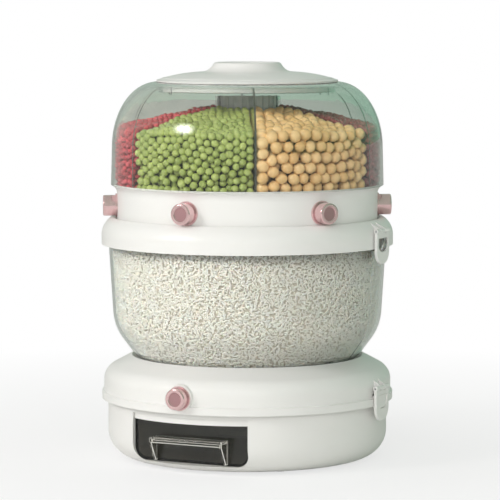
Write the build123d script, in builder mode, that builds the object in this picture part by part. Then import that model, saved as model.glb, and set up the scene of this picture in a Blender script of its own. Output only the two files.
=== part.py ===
from build123d import *
from math import cos, radians, sin, tan
import os

# A three-tier grain and rice dispenser. Front is -Y, up is +Z, and the origin is the
# middle of the standing plane. All lengths are in millimetres.

# Running and seating clearances
SEAT_GAP = 0.3
SLIDE_GAP = 0.4
PIN_GAP = 0.05

# Base shell and its feet
FOOT_HEIGHT = 2.0
FOOT_RADIUS = 9.0
FOOT_INSET = 43.5
FOOT_POCKET = 0.9
SHELL_RADIUS = 139.5
SHELL_HEIGHT = 70.0
SHELL_WALL = 2.6
SHELL_CORNER = 27.0

# Drawer, its bay and its pull
DRAWER_WIDTH = 124.6
DRAWER_SETBACK = 19.5
DRAWER_BACK = 43.5
DRAWER_LIFT = 7.4
DRAWER_HEIGHT = 40.0
DRAWER_CORNER = 13.0
DRAWER_WALL = 2.2
DRAWER_FLOOR = 2.4
DRAWER_PANEL = 3.0
DRAWER_MARGIN = 0.4
BAY_WALL = 2.0
BAY_RIB = 3.0
BAY_RIB_SPREAD = 40.0
BAY_BROW_HEIGHT = 6.4
BAY_BROW_LAP = 3.0
BAY_BROW_WALL = 2.4
PULL_WIDTH = 79.0
PULL_REACH = 14.5
PULL_TOP = 25.0
PULL_PLATE = 2.5
PULL_APRON = 5.5
PULL_FOOT_REACH = 4.5
PULL_FOOT_LIFT = 1.2

# Base cover
COVER_WALL = 2.4
LIP_OVERHANG = 6.0
COVER_LIP_DROP = 11.5
COVER_LIP_HEIGHT = 7.0
COVER_SIDE_INSET = 2.0
COVER_SIDE_RISE = 7.0
COVER_SHOULDER = 16.5
COVER_SLOPE = 28.0
COVER_CREST_INSET = 23.9
COVER_CREST_ROUND = 1.2
COVER_STOP_HEIGHT = 2.4
BOSS_RADIUS = 13.4
BOSS_PROUD = 0.5

# Rice bowl and its slot outlet
BOWL_WALL = 2.4
BOWL_SINK = 14.7
BOWL_HEIGHT = 141.8
BOWL_TAPER = 6.2
BOWL_WAIST_RISE = 43.2
BOWL_WAIST_ROUND = 50.0
BOWL_HEEL_INSET = 6.1
BOWL_HEEL_RISE = 10.7
BOWL_HEEL_ROUND = 14.0
BOWL_FLAT_RADIUS = 38.0
SPOUT_LENGTH = 50.0
SPOUT_WIDTH = 7.0
SPOUT_WALL = 2.0
SPOUT_DROP = 11.0
SEAL_WALL = 2.5

# Rice button, gate and funnel
RICE_AXIS_RISE = 4.0
RICE_STROKE = 8.0
RICE_STAND = 10.0
GATE_THICKNESS = 2.6
RICE_GATE_WIDTH = 60.0
RICE_GATE_MARGIN = 5.5
RICE_TONGUE_WIDTH = 16.0
FUNNEL_WALL = 2.1
FUNNEL_RAIL = 3.4
FUNNEL_LENGTH = 34.0

# Collar over the bowl's rim
COLLAR_LIP_DROP = 16.1
COLLAR_LIP_HEIGHT = 7.5
COLLAR_LIP_WALL = 2.6
COLLAR_CROWN_INSET = 9.1
COLLAR_CROWN_RISE = 10.1
COLLAR_BULGE_INSET = 1.3
COLLAR_BULGE_RISE = 8.9
COLLAR_ROLL = 1.2
COLLAR_ROLL_DROP = 1.5
COLLAR_WELL_GAP = 1.2
COLLAR_WELL_WALL = 2.5
COLLAR_DECK = 2.5
COLLAR_DECK_LEDGE = 16.0
COLLAR_SEAL_HEIGHT = 1.6

# Latches, their ears, pins and lugs
LATCH_WIDTH = 30.0
LATCH_LENGTH = 32.5
LATCH_THICKNESS = 2.6
LATCH_CLEARANCE = 0.6
LATCH_CORNER = 13.0
LATCH_BARREL = 2.3
LATCH_HINGE_RISE = 17.5
WINDOW_DROP = 7.0
WINDOW_WIDTH = 22.0
WINDOW_HEIGHT = 13.5
WINDOW_CORNER = 8.0
WINDOW_TOP_CORNER = 1.5
LUG_GAP = 0.5
LUG_INSET = 0.9
LUG_ROOT = 1.4
PIN_RADIUS = 1.2
PIN_LENGTH = 28.0
EAR_RADIUS = 2.6
EAR_WIDTH = 3.0
EAR_SPREAD = 5.7
EAR_RISE = 8.6
EAR_LEAN = 1.3
NOTCH_MARGIN = 1.6

# Turntable bearing
BALL_RADIUS = 3.0
BALL_INSET = 18.0
BALL_COUNT = 18
BALL_SINK = 0.8
RACE_GAP = 0.1
CAGE_WIDTH = 10.0
CAGE_HEIGHT = 1.6
CAGE_GAP = 0.15
PLATE_THICKNESS = 3.1
PLATE_LEDGE = 24.0

# Dispenser ring with its sloped floor
SECTORS = 6
RING_INSET = 9.5
RING_WALL = 2.6
RING_SKIRT_DROP = 2.3
RING_HEIGHT = 38.1
RING_COVE = 8.6
RING_FLARE = 5.5
RING_LIP_INSET = 2.5
RING_LIP_WALL = 2.0
RING_LIP_HEIGHT = 1.4
FLOOR_THICKNESS = 2.4
FLOOR_DROP = 6.4
FLOOR_FALL = 3.4
TROUGH_INSET = 50.0
FLOOR_TROUGH_WIDTH = 20.0
OUTLET_LENGTH = 34.0
OUTLET_WIDTH = 8.0
DUCT_WALL = 1.8
POST_RADIUS = 4.0
POST_INSET = 12.0

# Grain buttons and gates
GRAIN_AXIS_RISE = 17.6
GRAIN_STROKE = 10.0
GRAIN_STAND = 14.0
CAP_RADIUS = 10.3
CAP_LENGTH = 19.0
CAP_WALL = 1.5
CAP_FACE = 2.4
CAP_ROUND = 1.4
CAP_DISH_RADIUS = 7.0
CAP_DISH_DEPTH = 1.0
CAP_GAP = 0.2
BEZEL_WALL = 0.8
BEZEL_FLANGE = 0.6
BEZEL_PROUD = 1.6
BEZEL_END = 1.6
BEZEL_SPARE = 2.0
STEM_RADIUS = 3.0
STEM_LENGTH = 37.0
SPRING_RADIUS = 6.4
SPRING_WALL = 2.6
GRAIN_GATE_WIDTH = 42.0
GRAIN_GATE_MARGIN = 5.0
GRAIN_TONGUE_WIDTH = 14.0
GATE_BOSS = 3.0
GATE_BOSS_HEIGHT = 6.0
GUIDE_WALL = 2.4

# Clear dome, divider and fluted core
DOME_WALL = 2.4
DOME_OVERHANG = 0.5
DOME_SIDE_RISE = 37.0
DOME_FLAT = 4.0
DOME_CROWN_HEIGHT = 65.0
DOME_TAPER = 1.0
MOUTH_INSET = 53.5
MOUTH_NECK = 9.0
DIVIDER_WALL = 1.8
DIVIDER_DROP = 11.5
DIVIDER_HUB = 32.6
DIVIDER_HUB_WALL = 1.6
CORE_RADIUS = 29.0
CORE_WALL = 1.8
CORE_FLUTES = 24
CORE_FLUTE_RADIUS = 1.6

# Lid, its knob and its seal
LID_OVERHANG = 4.4
LID_WALL = 2.2
LID_EDGE = 1.6
LID_CROWN = 8.0
LID_BULGE = 1.6
KNOB_BASE_RADIUS = 46.5
KNOB_RADIUS = 34.2
KNOB_RISE = 7.3
KNOB_ROLL = 2.2
KNOB_FLARE = 2.0
KNOB_DISH_RADIUS = 28.2
KNOB_DISH_DEPTH = 3.4
PLUG_GAP = 1.6
PLUG_WALL = 2.4
PLUG_DEPTH = 8.6
LID_SEAL_HEIGHT = 2.4
LID_SEAL_SINK = 1.0
LID_SEAL_GAP = 0.2

# Radii, each set from the piece that carries it
FOOT_CIRCLE = SHELL_RADIUS - FOOT_INSET
DRAWER_FRONT = SHELL_RADIUS - DRAWER_SETBACK
COVER_LIP_RADIUS = SHELL_RADIUS + LIP_OVERHANG
COVER_SIDE_RADIUS = COVER_LIP_RADIUS - COVER_SIDE_INSET
COVER_CREST_RADIUS = SHELL_RADIUS - COVER_CREST_INSET
BOSS_REACH = COVER_LIP_RADIUS + BOSS_PROUD
RICE_REACH = BOSS_REACH + RICE_STAND
BOWL_RIM_RADIUS = SHELL_RADIUS
BOWL_WAIST_RADIUS = BOWL_RIM_RADIUS - BOWL_TAPER
BOWL_HEEL_RADIUS = COVER_CREST_RADIUS - BOWL_HEEL_INSET
COLLAR_LIP_RADIUS = BOWL_RIM_RADIUS + LIP_OVERHANG
COLLAR_CROWN_RADIUS = COLLAR_LIP_RADIUS - COLLAR_CROWN_INSET
RING_RADIUS = BOWL_RIM_RADIUS - RING_INSET
COLLAR_WELL_RADIUS = RING_RADIUS + COLLAR_WELL_GAP
BALL_CIRCLE = RING_RADIUS - BALL_INSET
COLLAR_DECK_BORE = BALL_CIRCLE - COLLAR_DECK_LEDGE
FLOOR_TROUGH = RING_RADIUS - TROUGH_INSET
PLATE_BORE = FLOOR_TROUGH - PLATE_LEDGE
POST_CIRCLE = RING_RADIUS - POST_INSET
GRAIN_REACH = RING_RADIUS + GRAIN_STAND
RING_RIM_RADIUS = RING_RADIUS + RING_FLARE
RING_LIP_RADIUS = RING_RIM_RADIUS - RING_LIP_INSET
TRAY_SEAT_RADIUS = RING_RADIUS - RING_WALL / 2
DOME_FOOT_RADIUS = RING_RIM_RADIUS + DOME_OVERHANG
MOUTH_RADIUS = SHELL_RADIUS - MOUTH_INSET
DOME_CROWN_CENTRE = MOUTH_RADIUS + DOME_FLAT
LID_RADIUS = MOUTH_RADIUS + LID_OVERHANG

# Levels of the base, bottom up
SHELL_BOTTOM = FOOT_HEIGHT
SHELL_TOP = SHELL_BOTTOM + SHELL_HEIGHT
DRAWER_BOTTOM = SHELL_BOTTOM + DRAWER_LIFT
DRAWER_TOP = DRAWER_BOTTOM + DRAWER_HEIGHT
BAY_TOP = DRAWER_TOP + DRAWER_MARGIN
COVER_LIP_BOTTOM = SHELL_TOP - COVER_LIP_DROP
COVER_LIP_TOP = COVER_LIP_BOTTOM + COVER_LIP_HEIGHT
COVER_SIDE_TOP = SHELL_TOP + COVER_SIDE_RISE
SHOULDER_RADIUS = COVER_SIDE_RADIUS - COVER_SHOULDER * (1 - sin(radians(COVER_SLOPE)))
SHOULDER_TOP = COVER_SIDE_TOP + COVER_SHOULDER * cos(radians(COVER_SLOPE))
CREST_LEVEL = SHOULDER_TOP + (SHOULDER_RADIUS - COVER_CREST_RADIUS) * tan(radians(COVER_SLOPE))
BASE_HINGE = COVER_LIP_BOTTOM + LATCH_HINGE_RISE
BOWL_BOTTOM = CREST_LEVEL - BOWL_SINK
BOWL_TOP = BOWL_BOTTOM + BOWL_HEIGHT
SPOUT_BOTTOM = BOWL_BOTTOM - SPOUT_DROP
DISH_UNDERSIDE = BOWL_BOTTOM - SEAT_GAP - COVER_WALL
RICE_GATE_TOP = SPOUT_BOTTOM - SLIDE_GAP
RICE_AXIS = SHELL_TOP + RICE_AXIS_RISE

# Levels of the collar, the bearing and the dispenser
COLLAR_CEILING = BOWL_TOP + SEAT_GAP + COLLAR_SEAL_HEIGHT
COLLAR_LIP_BOTTOM = BOWL_TOP - COLLAR_LIP_DROP
COLLAR_LIP_TOP = COLLAR_LIP_BOTTOM + COLLAR_LIP_HEIGHT
COLLAR_CROWN = BOWL_TOP + COLLAR_CROWN_RISE
COLLAR_HINGE = COLLAR_LIP_BOTTOM + LATCH_HINGE_RISE
DECK_TOP = BOWL_TOP
BALL_LEVEL = DECK_TOP + BALL_RADIUS - BALL_SINK
PLATE_BOTTOM = BALL_LEVEL + BALL_RADIUS - BALL_SINK
PLATE_TOP = PLATE_BOTTOM + PLATE_THICKNESS
RING_BOTTOM = PLATE_BOTTOM - RING_SKIRT_DROP
RING_RIM = PLATE_BOTTOM + RING_HEIGHT
GRAIN_AXIS = PLATE_BOTTOM + GRAIN_AXIS_RISE
GRAIN_GATE_TOP = GRAIN_AXIS + GATE_THICKNESS / 2
GRAIN_GATE_BOTTOM = GRAIN_AXIS - GATE_THICKNESS / 2
TROUGH_LEVEL = RING_RIM - FLOOR_DROP
FLOOR_EDGE_LEVEL = TROUGH_LEVEL + FLOOR_FALL
TROUGH_INNER = FLOOR_TROUGH - FLOOR_TROUGH_WIDTH / 2
TROUGH_OUTER = FLOOR_TROUGH + FLOOR_TROUGH_WIDTH / 2

# Levels of the dome and the lid
DOME_BOTTOM = RING_RIM + SEAT_GAP
DOME_SPRING = DOME_BOTTOM + DOME_SIDE_RISE
DOME_TOP = DOME_SPRING + DOME_CROWN_HEIGHT
DOME_SPRING_RADIUS = DOME_FOOT_RADIUS - DOME_TAPER
DOME_CROWN_WIDTH = DOME_SPRING_RADIUS - DOME_CROWN_CENTRE
DIVIDER_TOP = DOME_TOP - DIVIDER_DROP
LID_BOTTOM = DOME_TOP + SEAT_GAP
LID_EDGE_TOP = LID_BOTTOM + LID_EDGE
KNOB_BASE = LID_EDGE_TOP + LID_CROWN
KNOB_TOP = KNOB_BASE + KNOB_RISE
PLUG_RADIUS = MOUTH_RADIUS - PLUG_GAP

# Button parts shared by the rice button and the grain buttons
BEZEL_BORE = CAP_RADIUS + CAP_GAP
SLEEVE_RADIUS = BEZEL_BORE + BEZEL_WALL
SLEEVE_HOLE = SLEEVE_RADIUS + PIN_GAP
FLANGE_RADIUS = SLEEVE_RADIUS + BEZEL_FLANGE
STEM_HOLE = STEM_RADIUS + PIN_GAP

# Latch geometry, measured out along X
LATCH_INNER = COLLAR_LIP_RADIUS + LATCH_CLEARANCE
PIN_REACH = LATCH_INNER + LATCH_THICKNESS / 2
LUG_TIP = LATCH_INNER + LATCH_THICKNESS - LUG_INSET
SIDES = {"right": 1, "left": -1}
SECTOR_ANGLE = 360 / SECTORS
BUTTON_PLACES = {
    "front": -90,
    "front_right": -30,
    "back_right": 30,
    "back": 90,
    "back_left": 150,
    "front_left": 210,
}


os.makedirs("parts", exist_ok=True)


def save(piece, name):
    """Labels a finished piece and writes its STEP file."""
    piece.part.label = name
    export_step(piece.part, f"parts/{name}.step")


def button_holes():
    """Cuts a hole along every grain button's axis, for its sleeve and its stem."""
    for place in BUTTON_PLACES.values():
        outward = (cos(radians(place)), sin(radians(place)), 0)
        with BuildSketch(Plane((0, 0, GRAIN_AXIS), x_dir=(0, 0, 1), z_dir=outward)) as hole:
            Circle(SLEEVE_HOLE)
        extrude(hole.sketch, amount=2 * RING_RADIUS, mode=Mode.SUBTRACT)


def drawer_section(gap, top):
    """Draws the drawer's cross-section grown by a gap: round below, square at the top."""
    half = DRAWER_WIDTH / 2 + gap
    low = DRAWER_BOTTOM - gap
    with BuildLine() as section:
        FilletPolyline(
            (-half, top), (-half, low), (half, low), (half, top), radius=DRAWER_CORNER + gap
        )
        Line((half, top), (-half, top))
    make_face(section.edges())


def shield(sketch, top, width, height, foot_corner, top_corner):
    """Draws a shield whose top edge is at the given height and whose foot is well rounded."""
    with Locations((0, top)):
        Rectangle(width, height, align=(Align.CENTER, Align.MAX))
    fillet(sketch.vertices().group_by(Axis.Y)[0], radius=foot_corner)
    fillet(sketch.vertices().group_by(Axis.Y)[-1], radius=top_corner)


def latch_lugs(root, hinge):
    """Adds the two shield-shaped lugs that the latch windows close over."""
    for side in SIDES.values():
        with BuildSketch(Plane.YZ.offset(side * root)) as lug:
            shield(
                lug,
                hinge - WINDOW_DROP - LUG_GAP,
                WINDOW_WIDTH - 2 * LUG_GAP,
                WINDOW_HEIGHT - 2 * LUG_GAP,
                WINDOW_CORNER - LUG_GAP,
                WINDOW_TOP_CORNER - LUG_GAP,
            )
        extrude(lug.sketch, amount=side * (LUG_TIP - root))


def lug_notches(wall_inside, lip_bottom, hinge):
    """Cuts the lip open below each hinge so that it drops over the lugs."""
    width = WINDOW_WIDTH + 2 * NOTCH_MARGIN
    height = hinge - WINDOW_DROP + NOTCH_MARGIN - lip_bottom
    for side in SIDES.values():
        with BuildSketch(Plane.YZ.offset(side * (wall_inside - NOTCH_MARGIN))) as notch:
            with Locations((0, lip_bottom)):
                Rectangle(width, height, align=(Align.CENTER, Align.MIN))
            fillet(notch.vertices().group_by(Axis.Y)[-1], radius=WINDOW_TOP_CORNER)
        extrude(notch.sketch, amount=side * (PIN_REACH - wall_inside), mode=Mode.SUBTRACT)


def hinge_ears(hinge, root, top_reach):
    """Adds two gusset ears per side that carry a latch pin.

    root is the wall's reach behind the pin, and top_reach is where the ear's upper end meets it.
    """
    nose = EAR_RADIUS * sin(radians(45))
    for side in SIDES.values():
        for middle in (-EAR_SPREAD, EAR_SPREAD):
            with BuildSketch(Plane.XZ.offset(-middle - EAR_WIDTH / 2)) as ear:
                with BuildLine():
                    Polyline(
                        (side * root, hinge - EAR_RADIUS),
                        (side * PIN_REACH, hinge - EAR_RADIUS),
                        (side * (PIN_REACH + nose), hinge + nose),
                        (side * top_reach, hinge + EAR_RISE),
                        (side * (top_reach - EAR_LEAN), hinge + EAR_RISE - EAR_RADIUS),
                        close=True,
                    )
                make_face()
                with Locations((side * PIN_REACH, hinge)):
                    Circle(EAR_RADIUS)
                    Circle(PIN_RADIUS + PIN_GAP, mode=Mode.SUBTRACT)
            extrude(ear.sketch, amount=EAR_WIDTH)


def latch_pins(name, hinge):
    """Makes the pair of hinge pins at one height."""
    with BuildPart() as pins:
        with BuildSketch(Plane.XZ.offset(-PIN_LENGTH / 2)):
            with Locations((PIN_REACH, hinge), (-PIN_REACH, hinge)):
                Circle(PIN_RADIUS)
        extrude(amount=PIN_LENGTH)
    save(pins, name)


def latch(name, side, hinge):
    """Makes one swing latch: a rounded flap with a window, hung on a split barrel."""
    with BuildPart() as flap:
        with BuildSketch(Plane.YZ.offset(side * LATCH_INNER)) as outline:
            shield(outline, hinge, LATCH_WIDTH, LATCH_LENGTH, LATCH_CORNER, WINDOW_TOP_CORNER)
        extrude(amount=side * LATCH_THICKNESS)
        outer_face = flap.faces().sort_by(Axis.X)[-1 if side > 0 else 0]
        fillet(outer_face.edges().group_by(Axis.Z)[0], radius=LATCH_THICKNESS / 3)
        with BuildSketch(Plane.XZ.offset(-LATCH_WIDTH / 2)):
            with Locations((side * PIN_REACH, hinge)):
                Circle(LATCH_BARREL)
        extrude(amount=LATCH_WIDTH)
        with BuildSketch(Plane.YZ.offset(side * LATCH_INNER)) as window:
            shield(
                window, hinge - WINDOW_DROP, WINDOW_WIDTH, WINDOW_HEIGHT, WINDOW_CORNER, WINDOW_TOP_CORNER
            )
        extrude(amount=side * LATCH_THICKNESS, mode=Mode.SUBTRACT)
        for middle in (-EAR_SPREAD, EAR_SPREAD):
            with BuildSketch(Plane.XZ.offset(-middle - EAR_WIDTH / 2 - SLIDE_GAP)):
                with Locations((side * PIN_REACH, hinge)):
                    Circle(EAR_RADIUS + SLIDE_GAP)
            extrude(amount=EAR_WIDTH + 2 * SLIDE_GAP, mode=Mode.SUBTRACT)
        with BuildSketch(Plane.XZ.offset(-LATCH_WIDTH / 2)):
            with Locations((side * PIN_REACH, hinge)):
                Circle(PIN_RADIUS + PIN_GAP)
        extrude(amount=LATCH_WIDTH, mode=Mode.SUBTRACT)
    save(flap, name)


def turned_place(angle, level):
    """Gives the place of a piece that was drawn along +X, turned about the axis and lifted."""
    return Location((0, 0, level), (0, 0, angle))


def button_cap(reach):
    """Makes a push cap along +X: a hollow cup with a dished face and a stem down its middle."""
    inside = reach - CAP_FACE
    stem_end = reach - STEM_LENGTH
    with BuildPart() as cap:
        with BuildSketch(Plane.XZ):
            with BuildLine():
                Polyline(
                    (stem_end, 0),
                    (reach - CAP_DISH_DEPTH, 0),
                    (reach - CAP_DISH_DEPTH, CAP_DISH_RADIUS - CAP_DISH_DEPTH),
                    (reach, CAP_DISH_RADIUS),
                    (reach, CAP_RADIUS - CAP_ROUND),
                )
                RadiusArc((reach, CAP_RADIUS - CAP_ROUND), (reach - CAP_ROUND, CAP_RADIUS), -CAP_ROUND)
                Polyline(
                    (reach - CAP_ROUND, CAP_RADIUS),
                    (reach - CAP_LENGTH, CAP_RADIUS),
                    (reach - CAP_LENGTH, CAP_RADIUS - CAP_WALL),
                    (inside, CAP_RADIUS - CAP_WALL),
                    (inside, STEM_RADIUS),
                    (stem_end, STEM_RADIUS),
                    (stem_end, 0),
                )
            make_face()
        revolve(axis=Axis.X)
    return cap.part


def bezel_end(reach, stroke):
    """Gives where the inner face of the bezel's end wall lies, clear of the pressed cap."""
    return reach - CAP_LENGTH - stroke - BEZEL_SPARE


def button_bezel(reach, stroke, seat, wall_radius=None):
    """Makes the bezel along +X: a flanged sleeve closed at its inner end round the stem.

    seat is how far out the flange sits; wall_radius is set where it sits on a round wall.
    """
    end = bezel_end(reach, stroke)
    lip = seat + BEZEL_PROUD
    flange_back = seat if wall_radius is None else seat - FLANGE_RADIUS
    with BuildPart() as bezel:
        with BuildSketch(Plane.YZ.offset(flange_back)):
            Circle(FLANGE_RADIUS)
        extrude(amount=lip - flange_back)
        chamfer(bezel.faces().sort_by(Axis.X)[-1].edges(), length=BEZEL_FLANGE / 2)
        if wall_radius is not None:
            Cylinder(wall_radius + PIN_GAP, 3 * FLANGE_RADIUS, mode=Mode.SUBTRACT)
        with BuildSketch(Plane.YZ.offset(end - BEZEL_END)):
            Circle(SLEEVE_RADIUS)
        extrude(amount=lip - end + BEZEL_END)
        with BuildSketch(Plane.YZ.offset(end)):
            Circle(BEZEL_BORE)
        extrude(amount=lip - end, mode=Mode.SUBTRACT)
        with BuildSketch(Plane.YZ.offset(end - BEZEL_END)):
            Circle(STEM_HOLE)
        extrude(amount=BEZEL_END, mode=Mode.SUBTRACT)
    return bezel.part


def button_spring(reach, stroke):
    """Makes the return spring's sleeve along +X, between the bezel's end wall and the cap."""
    start = bezel_end(reach, stroke) + SEAT_GAP
    with BuildPart() as spring:
        with BuildSketch(Plane.YZ.offset(start)):
            Circle(SPRING_RADIUS)
            Circle(SPRING_RADIUS - SPRING_WALL, mode=Mode.SUBTRACT)
        extrude(amount=reach - CAP_FACE - SEAT_GAP - start)
    return spring.part


def sliding_gate(reach, head, head_width, tongue_width, window):
    """Makes a gate along +X, in its own middle plane: head with a window, tongue and end boss.

    head is the pair of X ends of the head, and window is its middle X, width along X and length.
    """
    stem_end = reach - STEM_LENGTH
    middle, width, length = window
    with BuildPart() as gate:
        with BuildSketch(Plane.XY.offset(-GATE_THICKNESS / 2)):
            with Locations(((head[0] + head[1]) / 2, 0)):
                RectangleRounded(head[1] - head[0], head_width, GATE_THICKNESS)
            with Locations((head[1] - GATE_BOSS, 0)):
                Rectangle(
                    stem_end - head[1] + GATE_BOSS, tongue_width, align=(Align.MIN, Align.CENTER)
                )
            with Locations((middle, 0)):
                SlotOverall(length, width, rotation=90, mode=Mode.SUBTRACT)
        extrude(amount=GATE_THICKNESS)
        with BuildSketch(Plane.XY.offset(GATE_THICKNESS / 2)):
            with Locations((stem_end, 0)):
                Rectangle(GATE_BOSS, tongue_width, align=(Align.MAX, Align.CENTER))
        extrude(amount=-GATE_BOSS_HEIGHT)
    return gate.part


# Base shell: a turned tub with the drawer opening, the bezel notch and the latch lugs
with BuildPart() as base_shell:
    with BuildSketch(Plane.XZ):
        with BuildLine():
            FilletPolyline(
                (0, SHELL_BOTTOM),
                (SHELL_RADIUS, SHELL_BOTTOM),
                (SHELL_RADIUS, SHELL_TOP),
                radius=SHELL_CORNER,
            )
            offset(amount=SHELL_WALL, side=Side.LEFT)
        make_face()
    revolve(axis=Axis.Z)
    with BuildSketch(Plane.XZ):
        drawer_section(DRAWER_MARGIN, BAY_TOP + BAY_BROW_HEIGHT)
    extrude(amount=2 * SHELL_RADIUS, mode=Mode.SUBTRACT)
    with BuildSketch(Plane.XZ):
        with Locations((0, RICE_AXIS)):
            Circle(SLEEVE_HOLE + SEAT_GAP)
    extrude(amount=2 * SHELL_RADIUS, mode=Mode.SUBTRACT)
    latch_lugs(SHELL_RADIUS - LUG_ROOT, BASE_HINGE)
    with BuildSketch(Plane.XY.offset(SHELL_BOTTOM)):
        with PolarLocations(FOOT_CIRCLE, 4, start_angle=45):
            Circle(FOOT_RADIUS + PIN_GAP)
    extrude(amount=FOOT_POCKET, mode=Mode.SUBTRACT)
save(base_shell, "base_shell")

# Four rubber feet, each set in a shallow pocket under the shell
with BuildPart() as rubber_feet:
    with BuildSketch():
        with PolarLocations(FOOT_CIRCLE, 4, start_angle=45):
            Circle(FOOT_RADIUS)
    extrude(amount=FOOT_HEIGHT + FOOT_POCKET)
    fillet(rubber_feet.edges().group_by(Axis.Z)[0], radius=FOOT_HEIGHT / 4)
save(rubber_feet, "rubber_feet")

# Space inside the base shell, which trims what is fitted into it
with BuildPart() as shell_space:
    space_radius = SHELL_RADIUS - SHELL_WALL - SEAT_GAP
    space_floor = SHELL_BOTTOM + SHELL_WALL
    with BuildSketch(Plane.XZ):
        with BuildLine():
            FilletPolyline(
                (0, space_floor),
                (space_radius, space_floor),
                (space_radius, SHELL_TOP),
                radius=SHELL_CORNER - SHELL_WALL - SEAT_GAP,
            )
            Polyline((space_radius, SHELL_TOP), (0, SHELL_TOP), (0, space_floor))
        make_face()
    revolve(axis=Axis.Z)

# Drawer bay: a sleeve with a brow over the drawer, trimmed to the shell's inside
with BuildPart() as drawer_bay:
    with BuildSketch(Plane.XZ.offset(-DRAWER_BACK - DRAWER_MARGIN - BAY_WALL)):
        drawer_section(DRAWER_MARGIN + BAY_WALL, BAY_TOP + BAY_WALL)
    extrude(amount=SHELL_RADIUS + DRAWER_BACK)
    with BuildSketch(Plane.XZ.offset(-DRAWER_BACK - DRAWER_MARGIN)):
        drawer_section(DRAWER_MARGIN, BAY_TOP)
    extrude(amount=2 * SHELL_RADIUS, mode=Mode.SUBTRACT)
    with BuildSketch(Plane.XY.offset(BAY_TOP)):
        Circle(space_radius)
        Circle(space_radius - BAY_BROW_WALL, mode=Mode.SUBTRACT)
        with Locations((0, -space_radius)):
            Rectangle(DRAWER_WIDTH + 2 * BAY_BROW_LAP, 2 * DRAWER_FRONT, mode=Mode.INTERSECT)
    extrude(amount=BAY_BROW_HEIGHT + BAY_BROW_LAP)
    with BuildSketch(Plane.XY.offset(space_floor)):
        with Locations((-BAY_RIB_SPREAD, 0), (BAY_RIB_SPREAD, 0)):
            Rectangle(BAY_RIB, 2 * DRAWER_BACK)
    extrude(amount=DRAWER_BOTTOM - DRAWER_MARGIN - space_floor)
    with BuildSketch(Plane.XY.offset(BAY_TOP)):
        SlotOverall(SPOUT_LENGTH + 4 * SPOUT_WALL, SPOUT_WIDTH + 4 * SPOUT_WALL)
    extrude(amount=BAY_WALL, mode=Mode.SUBTRACT)
    add(shell_space.part, mode=Mode.INTERSECT)
save(drawer_bay, "drawer_bay")

# Drawer: an open bin behind a flat front panel
with BuildPart() as drawer_bin:
    with BuildSketch(Plane.XZ.offset(-DRAWER_BACK)):
        drawer_section(0, DRAWER_TOP)
    extrude(amount=DRAWER_BACK + DRAWER_FRONT)
    with BuildSketch(Plane.XZ.offset(-DRAWER_BACK + DRAWER_WALL)):
        with BuildLine():
            inner_half = DRAWER_WIDTH / 2 - DRAWER_WALL
            inner_low = DRAWER_BOTTOM + DRAWER_FLOOR
            FilletPolyline(
                (-inner_half, DRAWER_TOP),
                (-inner_half, inner_low),
                (inner_half, inner_low),
                (inner_half, DRAWER_TOP),
                radius=DRAWER_CORNER - DRAWER_WALL,
            )
            Line((inner_half, DRAWER_TOP), (-inner_half, DRAWER_TOP))
        make_face()
    extrude(amount=DRAWER_BACK + DRAWER_FRONT - DRAWER_WALL - DRAWER_PANEL, mode=Mode.SUBTRACT)
save(drawer_bin, "drawer_bin")

# Drawer pull: a hooded lip between two tapered cheeks, open below
with BuildPart() as drawer_handle:
    pull_top = DRAWER_BOTTOM + PULL_TOP
    pull_foot = DRAWER_BOTTOM + PULL_FOOT_LIFT
    with BuildSketch(Plane.YZ.offset(-PULL_WIDTH / 2)):
        with BuildLine():
            Polyline(
                (-DRAWER_FRONT, pull_top),
                (-DRAWER_FRONT - PULL_REACH, pull_top),
                (-DRAWER_FRONT - PULL_REACH, pull_top - PULL_APRON),
                (-DRAWER_FRONT - PULL_FOOT_REACH, pull_foot),
                (-DRAWER_FRONT, pull_foot),
                close=True,
            )
        make_face()
    extrude(amount=PULL_WIDTH)
    top_edges = drawer_handle.edges().group_by(Axis.Z)[-1]
    fillet(top_edges.sort_by(Axis.Y)[:-1], radius=PULL_PLATE / 2)
    with BuildSketch(Plane.YZ.offset(-PULL_WIDTH / 2 + PULL_PLATE)):
        with BuildLine():
            Polyline(
                (-DRAWER_FRONT, pull_top - PULL_PLATE),
                (-DRAWER_FRONT - PULL_REACH + PULL_PLATE, pull_top - PULL_PLATE),
                (-DRAWER_FRONT - PULL_REACH + PULL_PLATE, pull_top - PULL_APRON),
                (-DRAWER_FRONT - PULL_REACH, pull_top - PULL_APRON),
                (-DRAWER_FRONT - PULL_REACH, pull_foot),
                (-DRAWER_FRONT, pull_foot),
                close=True,
            )
        make_face()
    extrude(amount=PULL_WIDTH - 2 * PULL_PLATE, mode=Mode.SUBTRACT)
save(drawer_handle, "drawer_handle")

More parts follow.
